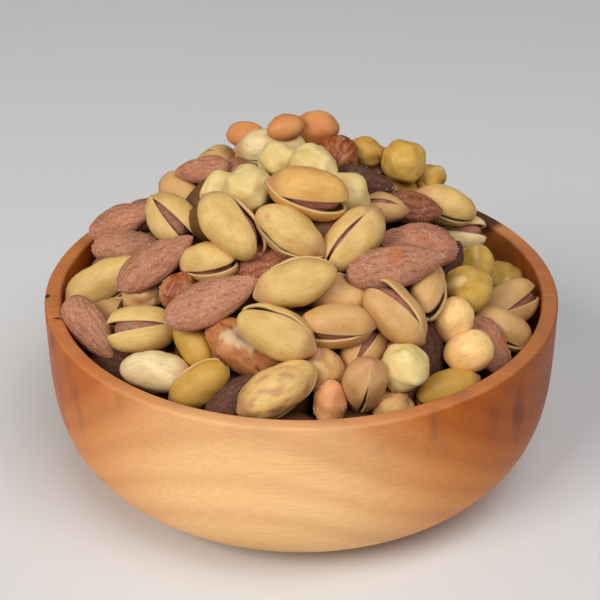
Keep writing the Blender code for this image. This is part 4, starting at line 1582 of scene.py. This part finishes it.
    def almond(self, shape: AlmondShape = AlmondShape()) -> Form:
        """Model an almond: flat, pointed at its tip, with long wrinkles that meet there.

        Args:
            shape: what it is drawn with.

        Returns:
            The form, with masks for bare patches, dusted crests and creases.
        """
        count, around = self.nut.fineness.almond
        u = self.stations(count)
        profile = shape.girth * (1.0 + u) ** shape.blunt_power * (1.0 - u) ** shape.tip_power
        rings = self.ovoid(count, around, profile, self.half)
        angle = self.angles(around)
        warp = self.lumpy(rings, shape.warp)
        fold = 1.0 - np.abs(np.sin(shape.folds * angle + warp + shape.fold_twist * u[:, None]))
        fine_fold = 1.0 - np.abs(np.sin(shape.fine_folds * angle + shape.fine_warp * warp))
        depth = shape.fold_depth * fold ** 3 + shape.fine_depth * fine_fold ** 2
        fade = smooth(1.0 - np.abs(u), 0.0, shape.fade)[:, None]
        bumps = self.lumpy(rings, shape.broad) + self.lumpy(rings, shape.grain)
        rings = self.swell(rings, bumps - depth * fade)
        bend = shape.bend * np.sin(shape.bend_waves * u)[:, None]
        rings[..., 2] += bend * self.draw.uniform(-1.0, 1.0)
        dusted = smooth(1.0 - fold, *shape.dusted_levels)
        patch = smooth(self.lumpy(rings, shape.bare), *shape.bare_levels)
        creased = smooth(fold, *shape.creased_levels) * fade
        return ring_form(rings, np.stack([patch, dusted * (1.0 - patch), creased], axis=-1))

    def round_nut(self, shape: RoundShape, bald: bool = False) -> Form:
        """Model a round nut.

        Args:
            shape: what it is drawn with.
            bald: whether a patch of its skin has come off.

        Returns:
            The form, with masks for bald patch, crowns and creases.
        """
        count, around = self.nut.fineness.round_nut
        u = self.stations(count)
        profile = np.sqrt(1.0 - u * u) * (1.0 - shape.tip * shape.tip_pull * (1.0 + u) * 0.5 * u)
        rings = self.ovoid(count, around, profile, self.half)
        warp = self.lumpy(rings, shape.warp)
        fold = (1.0 - np.abs(np.sin(shape.creases * self.angles(around) + warp))) ** shape.crease_power
        fold = fold * smooth(1.0 - np.abs(u), 0.0, shape.fade)[:, None]
        broad = self.lumpy(rings, Waviness(shape.lump_distance, 1.0))
        bumps = shape.lump * broad - shape.crease * fold + self.lumpy(rings, shape.grain)
        rings = self.swell(rings, bumps)
        patch = np.zeros_like(fold)
        if bald:
            middle = np.array(shape.bald_middle) * self.half
            away = np.linalg.norm((rings - middle) / np.array(shape.bald_size), axis=-1)
            patch = smooth(-away - self.lumpy(rings, shape.bald_edge), *shape.bald_levels)
        return ring_form(rings, np.stack([patch, smooth(broad, *shape.crown_levels), fold], axis=-1))

    def bare_nut(self) -> Form:
        """Model a nut without a shell."""
        if self.nut.kind is Kind.ALMOND:
            return self.almond()
        # The rusty hazelnut is the one whose skin has partly come off
        bald = self.nut.kind is Kind.SKIN_ON and self.nut.tone is Tone.RUST
        return self.round_nut(ROUND_SHAPES[self.nut.kind], bald)


# How fast red, green and blue fade with the depth, and that alpha doesn't
FADING = (0.8, 1.0, 1.25, 0.0)
# How far apart two nuts' patterns are, so that no two look alike
LOT_STEP = 3.7


class Pile:
    """Joins many small forms into one mesh, with what its finish reads from each point."""

    def __init__(self, name: str, finish: NutFinish | Salt) -> None:
        """Start an empty pile.

        Args:
            name: the piece's name.
            finish: the finish of all its forms.
        """
        self.name = name
        self.finish = finish
        self.points: list[np.ndarray] = []
        self.own: list[np.ndarray] = []
        self.marks: list[np.ndarray] = []
        self.tints: list[np.ndarray] = []
        self.lit: list[np.ndarray] = []
        self.lots: list[np.ndarray] = []
        self.quads: list[np.ndarray] = []
        self.triangles: list[np.ndarray] = []
        self.count = 0

    def add(self, form: Form, nut: Nut, lot: int, tone: Tone | None = None) -> np.ndarray:
        """Add one form at its nut's place.

        Args:
            form: the form in its own axes.
            nut: the nut that it belongs to.
            lot: the nut's number.
            tone: a colour other than the nut's own.

        Returns:
            The form's points in the world.
        """
        world = form.points * MM @ nut.axes.T + nut.place
        quads, triangles = form.faces()
        self.points.append(world)
        self.own.append(form.own)
        self.marks.append(form.marks)
        # Light that has bounced from nut to nut is warm, so blue fades first with the depth
        self.lit.append(np.tile(nut.light ** np.array(FADING), (len(world), 1)))
        self.tints.append(np.tile(np.array(linear((tone or nut.tone).value)), (len(world), 1)))
        self.lots.append(np.full(len(world), lot * LOT_STEP))
        self.quads.append(quads + self.count)
        self.triangles.append(triangles + self.count)
        self.count += len(world)
        return world

    def piece(self) -> bpy.types.Object:
        """Make the piece from all the forms, dressed and riding on the body."""
        mesh = bpy.data.meshes.new(self.name)
        quads, triangles = np.vstack(self.quads), np.vstack(self.triangles)
        corners = np.concatenate([quads.ravel(), triangles.ravel()]).astype(np.int32)
        sizes = np.concatenate([np.full(len(quads), 4), np.full(len(triangles), 3)])
        mesh.vertices.add(self.count)
        mesh.vertices.foreach_set("co", np.vstack(self.points).astype(np.float32).ravel())
        mesh.loops.add(len(corners))
        mesh.loops.foreach_set("vertex_index", corners)
        mesh.polygons.add(len(sizes))
        starts = np.concatenate([[0], np.cumsum(sizes)[:-1]]).astype(np.int32)
        mesh.polygons.foreach_set("loop_start", starts)
        mesh.update(calc_edges=True)
        mesh.validate()
        mesh.shade_smooth()
        for name, kind, values in (("own", "FLOAT_VECTOR", np.vstack(self.own)),
                                   ("mark", "FLOAT_VECTOR", np.vstack(self.marks)),
                                   ("tint", "FLOAT_COLOR", np.vstack(self.tints)),
                                   ("lit", "FLOAT_COLOR", np.vstack(self.lit)),
                                   ("lot", "FLOAT", np.concatenate(self.lots))):
            field_name = {"FLOAT_VECTOR": "vector", "FLOAT_COLOR": "color", "FLOAT": "value"}[kind]
            layer = mesh.attributes.new(name, kind, "POINT")
            layer.data.foreach_set(field_name, values.astype(np.float32).ravel())
        mesh.materials.append(self.finish.material())
        piece = bpy.data.objects.new(self.name, mesh)
        bpy.context.scene.collection.objects.link(piece)
        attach(piece, BODY)
        log.info("%s: %d points, %d faces", self.name, self.count, len(sizes))
        return piece


@dataclass
class Bowl:
    """The turned bowl, finely rounded, with a narrow flat rim and a drying crack on its left."""

    form: BowlForm
    turn_steps: int = 240
    side_steps: int = 44
    edge_round: float = 1.1 * MM
    edge_steps: int = 5
    crack_y: float = -20.0 * MM
    crack_width: float = 0.35 * MM
    crack_depth: float = 0.7 * MM
    crack_height: float = 5.0 * MM
    crack_full: float = 1.0 * MM
    crack_wander: float = 0.35 * MM
    crack_wave: float = 1.7 * MM
    crack_half_angle: float = 0.03
    crack_steps: int = 40
    rim_crowding: float = 1.3
    floor_steps: int = 4
    floor_shares: tuple[float, float] = (0.1, 0.85)

    def profile(self) -> np.ndarray:
        """Return radius and height from the middle of the floor over the rim to the foot's middle."""
        form = self.form
        steps = np.linspace(0.0, 1.0, self.side_steps)
        steps = 1.0 - (1.0 - steps) ** self.rim_crowding
        inner = form.side(steps, form.inner_floor_radius, form.mouth_radius, form.floor, form.height)
        outer = form.side(steps, form.foot_radius, form.rim_radius, 0.0, form.height)
        low = form.height - self.edge_round
        inner, outer = inner[inner[:, 1] < low], outer[outer[:, 1] < low]
        arc = np.linspace(0.0, 0.5 * math.pi, self.edge_steps)
        rim_in = np.column_stack([form.mouth_radius + self.edge_round * (1.0 - np.cos(arc)),
                                  low + self.edge_round * np.sin(arc)])
        rim_out = np.column_stack([form.rim_radius - self.edge_round * (1.0 - np.sin(arc)),
                                   low + self.edge_round * np.cos(arc)])
        shares = np.linspace(*self.floor_shares, self.floor_steps)
        floor = [[r, form.floor] for r in shares * form.inner_floor_radius]
        foot = [[r, 0.0] for r in shares[::-1] * form.foot_radius]
        return np.vstack([floor, inner, rim_in, rim_out, outer[::-1], foot])

    def build(self) -> bpy.types.Object:
        """Make the piece, which stands for the CAD bowl."""
        profile = self.profile()
        crack_angle = math.pi + math.asin(-self.crack_y / self.form.rim_radius)
        around = np.linspace(0.0, 2.0 * math.pi, self.turn_steps, endpoint=False)
        near = np.linspace(crack_angle - self.crack_half_angle, crack_angle + self.crack_half_angle,
                           self.crack_steps)
        angles = np.unique(np.round(np.concatenate([around, near]), 5))
        x = profile[:, 0][None, :] * np.cos(angles)[:, None]
        y = profile[:, 0][None, :] * np.sin(angles)[:, None]
        z = np.repeat(profile[:, 1][None, :], len(angles), axis=0)
        wander = self.crack_wander * np.sin(x / self.crack_wave)
        cut = np.exp(-((y - self.crack_y - wander) / self.crack_width) ** 2) * (x < 0.0)
        cut *= smooth(z, self.form.height - self.crack_height, self.form.height - self.crack_full)
        cut *= self.crack_depth
        z = z - cut
        rings = np.stack([x, y, z], axis=-1)
        turn, along = rings.shape[:2]
        points = np.vstack([rings.reshape(-1, 3), [[0.0, 0.0, self.form.floor], [0.0, 0.0, 0.0]]])
        faces = []
        for i in range(turn):
            k = (i + 1) % turn
            faces += [(i * along + j, k * along + j, k * along + j + 1, i * along + j + 1)
                      for j in range(along - 1)]
            faces.append((turn * along, k * along, i * along))
            faces.append((turn * along + 1, i * along + along - 1, k * along + along - 1))
        mesh = bpy.data.meshes.new("bowl_turned")
        mesh.from_pydata(points.tolist(), [], faces)
        mesh.update()
        mesh.shade_smooth()
        mesh.materials.append(TurnedWood().material())
        piece = bpy.data.objects.new("bowl_turned", mesh)
        bpy.context.scene.collection.objects.link(piece)
        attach(piece, BODY)
        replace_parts(piece, "bowl")
        log.info("bowl: %d faces", len(faces))
        return piece


@dataclass
class Heap:
    """The heap: the nuts in view, those of the hidden back, two lower layers and a dark bed of painted
    shade.
    """

    form: HeapForm
    eye: Eye
    bed_depth: float = 27.0 * MM
    bed_margin: float = 0.4 * MM
    bed_wall_share: float = 0.8
    bed_wall_steps: int = 14
    bed_top_shares: tuple[float, float] = (0.98, 0.04)
    bed_top_steps: int = 18
    bed_turn_steps: int = 72
    bed_start: float = 4.0 * MM
    bed_lump_mm: float = 1.2
    bed_lump_spread_mm: float = 12.0
    bed_lump_seed: int = 5
    bed_lump_heights_mm: tuple[float, float] = (36.0, 44.0)
    deep_rounds: int = 50
    salt_reach: float = -0.1
    salt_spread: float = 0.6
    salt_half_sizes_mm: tuple[float, float] = (0.06, 0.14)
    salt_bedding: float = 0.2

    def nuts(self) -> list[Nut]:
        """Lay and settle all the nuts, the top layer just as in the solid heap."""
        settler = Settler(self.eye, self.form)
        placed = [settler.lay(entry) for entry in IN_VIEW]
        placed += settler.fill(placed, BACK)
        settler.settle(placed)
        for layer in DEEP_LAYERS:
            below = settler.fill(placed, layer)
            for nut in below:
                nut.fine = False
            settler.settle(placed + below, held=len(placed), rounds=self.deep_rounds)
            placed += below
            log.info("layer %.0f mm down: %d nuts", layer.depth_mm, len(below))
        return placed

    def shade_bed(self) -> Form:
        """Model the dark bed of painted shade far under the nuts, down to the bowl's floor."""
        bowl = self.form.bowl
        steps = np.linspace(0.0, self.bed_wall_share, self.bed_wall_steps)
        wall = bowl.side(steps, bowl.inner_floor_radius, bowl.mouth_radius, bowl.floor, bowl.height)
        wall = wall[wall[:, 1] < bowl.height - self.bed_depth]
        wall = wall + np.array([-self.bed_margin, self.bed_margin])
        shares = np.linspace(*self.bed_top_shares, self.bed_top_steps)
        heights = [self.form.height(-share * bowl.mouth_radius, 0.0) - self.bed_depth
                   for share in shares]
        top = np.column_stack([shares * wall[-1, 0], heights])
        profile = np.vstack([[[self.bed_start, wall[0, 1]]], wall, top]) / MM
        angles = np.linspace(0.0, 2.0 * math.pi, self.bed_turn_steps, endpoint=False)[None, :]
        # The form's rings lie along X, so the bed is made along X and turned up when it is laid
        rings = np.stack([profile[:, 1:2] + 0.0 * angles, profile[:, 0:1] * np.cos(angles),
                          profile[:, 0:1] * np.sin(angles)], axis=-1)
        bumps = lumps(rings.reshape(-1, 3), self.bed_lump_spread_mm, self.bed_lump_seed)
        bumps = bumps.reshape(rings.shape[:2]) * smooth(profile[:, 1:2], *self.bed_lump_heights_mm)
        rings[..., 0] += self.bed_lump_mm * bumps
        return ring_form(rings, np.zeros_like(rings))

    def build(self) -> None:
        """Make one piece of each kind, which together stand for the CAD heap."""
        piles = {name: Pile(name, finish) for name, finish in (
            ("pistachio_shells", SHELL), ("pistachio_kernels", KERNEL), ("almonds", ALMOND_SKIN),
            ("blanched_hazelnuts", BLANCHED_FLESH), ("hazelnuts_in_skin", HAZEL_SKIN),
            ("roasted_peanuts", PEANUT_FLESH), ("roasted_chickpeas", CHICKPEA_SKIN),
            ("salt", Salt()), ("heap_painted_shade", SHADE_BED))}
        for lot, nut in enumerate(self.nuts()):
            maker = NutMaker(nut, lot)
            if nut.kind is Kind.PISTACHIO:
                piles["pistachio_shells"].add(maker.shell_half(1), nut, lot)
                piles["pistachio_shells"].add(maker.shell_half(-1), nut, lot)
                piles["pistachio_kernels"].add(maker.kernel(), nut, lot, Tone.KERNEL)
                continue
            world = piles[PILE_OF[nut.kind]].add(maker.bare_nut(), nut, lot)
            if nut.salted:
                self.add_salt(piles["salt"], world, nut, lot)
        upright = np.array([[0.0, 1.0, 0.0], [0.0, 0.0, 1.0], [1.0, 0.0, 0.0]])
        # The bed takes the darkest tint: painted shade deep in the heap
        shade_bed_nut = Nut(C, np.ones(3), 0.0, np.zeros(3), upright, np.zeros(3), None, Tone.DEEP)
        piles["heap_painted_shade"].add(self.shade_bed(), shade_bed_nut, 1)
        for pile in piles.values():
            if pile.count:
                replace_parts(pile.piece(), "heap")

    def add_salt(self, pile: Pile, world: np.ndarray, nut: Nut, lot: int, grains: int = 90) -> None:
        """Strew salt on a nut, on the side that looks out of the heap.

        Args:
            pile: the salt's pile.
            world: the nut's points.
            nut: the nut.
            lot: its number, which seeds the draws.
            grains: how many grains are tried.
        """
        draw = np.random.default_rng(SALT_SEED + lot)
        for index in draw.integers(0, len(world) - 2, grains):
            outward = world[index] - nut.place
            outward = outward - nut.axes[:, 0] * (outward @ nut.axes[:, 0]) * self.salt_spread
            outward /= np.linalg.norm(outward)
            if outward @ -nut.inward < self.salt_reach:
                continue
            spin = np.linalg.qr(draw.normal(size=(3, 3)))[0]
            spin *= np.sign(np.linalg.det(spin))
            size = draw.uniform(*self.salt_half_sizes_mm)
            ring = np.array([[-1, -1], [1, -1], [1, 1], [-1, 1]]) * size
            rings = np.stack([np.column_stack([np.full(4, x), ring]) for x in (-size, size)])
            cube = ring_form(rings, np.zeros_like(rings))
            place = world[index] + outward * size * self.salt_bedding * MM
            cube_nut = Nut(nut.kind, nut.sides, 0.0, place, spin, nut.inward, None, Tone.WHITE)
            pile.add(cube, cube_nut, int(index))


@dataclass(frozen=True)
class Lamp:
    """A square soft lamp: its name, where it hangs, its side, its power and its light's colour."""

    name: str
    place: tuple[float, float, float]
    side: float
    watts: float
    colour: str


@dataclass
class Studio:
    """A plain pale floor, soft light from the upper left and the photo's camera."""

    eye: Eye
    floor_half: float = 3.0
    floor_colour: str = "#DEDEDE"
    floor_cloud_colour: str = "#D8DADA"
    floor_clouds_per_m: float = 3.0
    floor_roughness: float = 0.8
    key: Lamp = Lamp("key", (-1.0, -1.1, 1.15), 0.8, 22.0, "#FFFAF4")
    top: Lamp = Lamp("top", (0.45, -0.75, 1.4), 1.1, 16.0, "#FCFCFF")
    room_colour: str = "#F6F6F8"
    room_strength: float = 0.15

    def floor(self) -> None:
        """Lay the floor."""
        half = self.floor_half
        mesh = bpy.data.meshes.new("floor")
        corners = [(-half, -half, 0.0), (half, -half, 0.0), (half, half, 0.0), (-half, half, 0.0)]
        mesh.from_pydata(corners, [], [(0, 1, 2, 3)])
        # Matt paper: a pale ground that shows a soft shadow and no sheen
        material, tree, shader = new_tree("matt_paper")
        place = add_node(tree, "ShaderNodeTexCoord").outputs["Object"]
        cloud = add_node(tree, "ShaderNodeTexNoise", {},
                         {"Vector": place, "Scale": self.floor_clouds_per_m}).outputs["Fac"]
        colour = mixed(tree, cloud, linear(self.floor_colour), linear(self.floor_cloud_colour))
        tree.links.new(colour, shader.inputs["Base Color"])
        shader.inputs["Roughness"].default_value = self.floor_roughness
        mesh.materials.append(material)
        floor = bpy.data.objects.new("floor", mesh)
        bpy.context.scene.collection.objects.link(floor)

    def hang(self, lamp: Lamp) -> None:
        """Hang a lamp that looks at the middle of the heap, 50 mm up.

        Args:
            lamp: the lamp.
        """
        light = bpy.data.lights.new(lamp.name, "AREA")
        light.energy = lamp.watts
        light.size = lamp.side
        light.color = linear(lamp.colour)[:3]
        holder = bpy.data.objects.new(lamp.name, light)
        holder.location = lamp.place
        toward = Vector((0.0, 0.0, 0.05)) - holder.location
        holder.rotation_euler = toward.to_track_quat("-Z", "Y").to_euler()
        bpy.context.scene.collection.objects.link(holder)

    def build(self) -> None:
        """Set the floor, the lamps, the surrounding light and the camera."""
        self.floor()
        self.hang(self.key)
        self.hang(self.top)
        scene = bpy.context.scene
        scene.world = bpy.data.worlds.new("room")
        scene.world.use_nodes = True
        background = scene.world.node_tree.nodes["Background"]
        background.inputs["Color"].default_value = linear(self.room_colour)
        background.inputs["Strength"].default_value = self.room_strength
        scene.view_settings.view_transform = "Standard"
        data = bpy.data.cameras.new("camera")
        data.sensor_width = self.eye.sensor_mm
        data.lens = self.eye.focal_px / self.eye.picture_px * self.eye.sensor_mm
        camera = bpy.data.objects.new("camera", data)
        camera.location = tuple(self.eye.place)
        camera.rotation_euler = (0.5 * math.pi - self.eye.elevation, 0.0, 0.0)
        scene.collection.objects.link(camera)
        scene.camera = camera


def main() -> None:
    """Build the bowl, the heap and the studio in order."""
    logging.basicConfig(level=logging.INFO, format="%(name)s: %(message)s")
    low, high = (np.array(corner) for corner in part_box("bowl"))
    form = BowlForm(height=float(high[2] - low[2]), rim_radius=float(0.5 * (high[0] - low[0])))
    eye = Eye()
    Bowl(form).build()
    Heap(HeapForm(form), eye).build()
    Studio(eye).build()


if __name__ == "__main__":
    main()
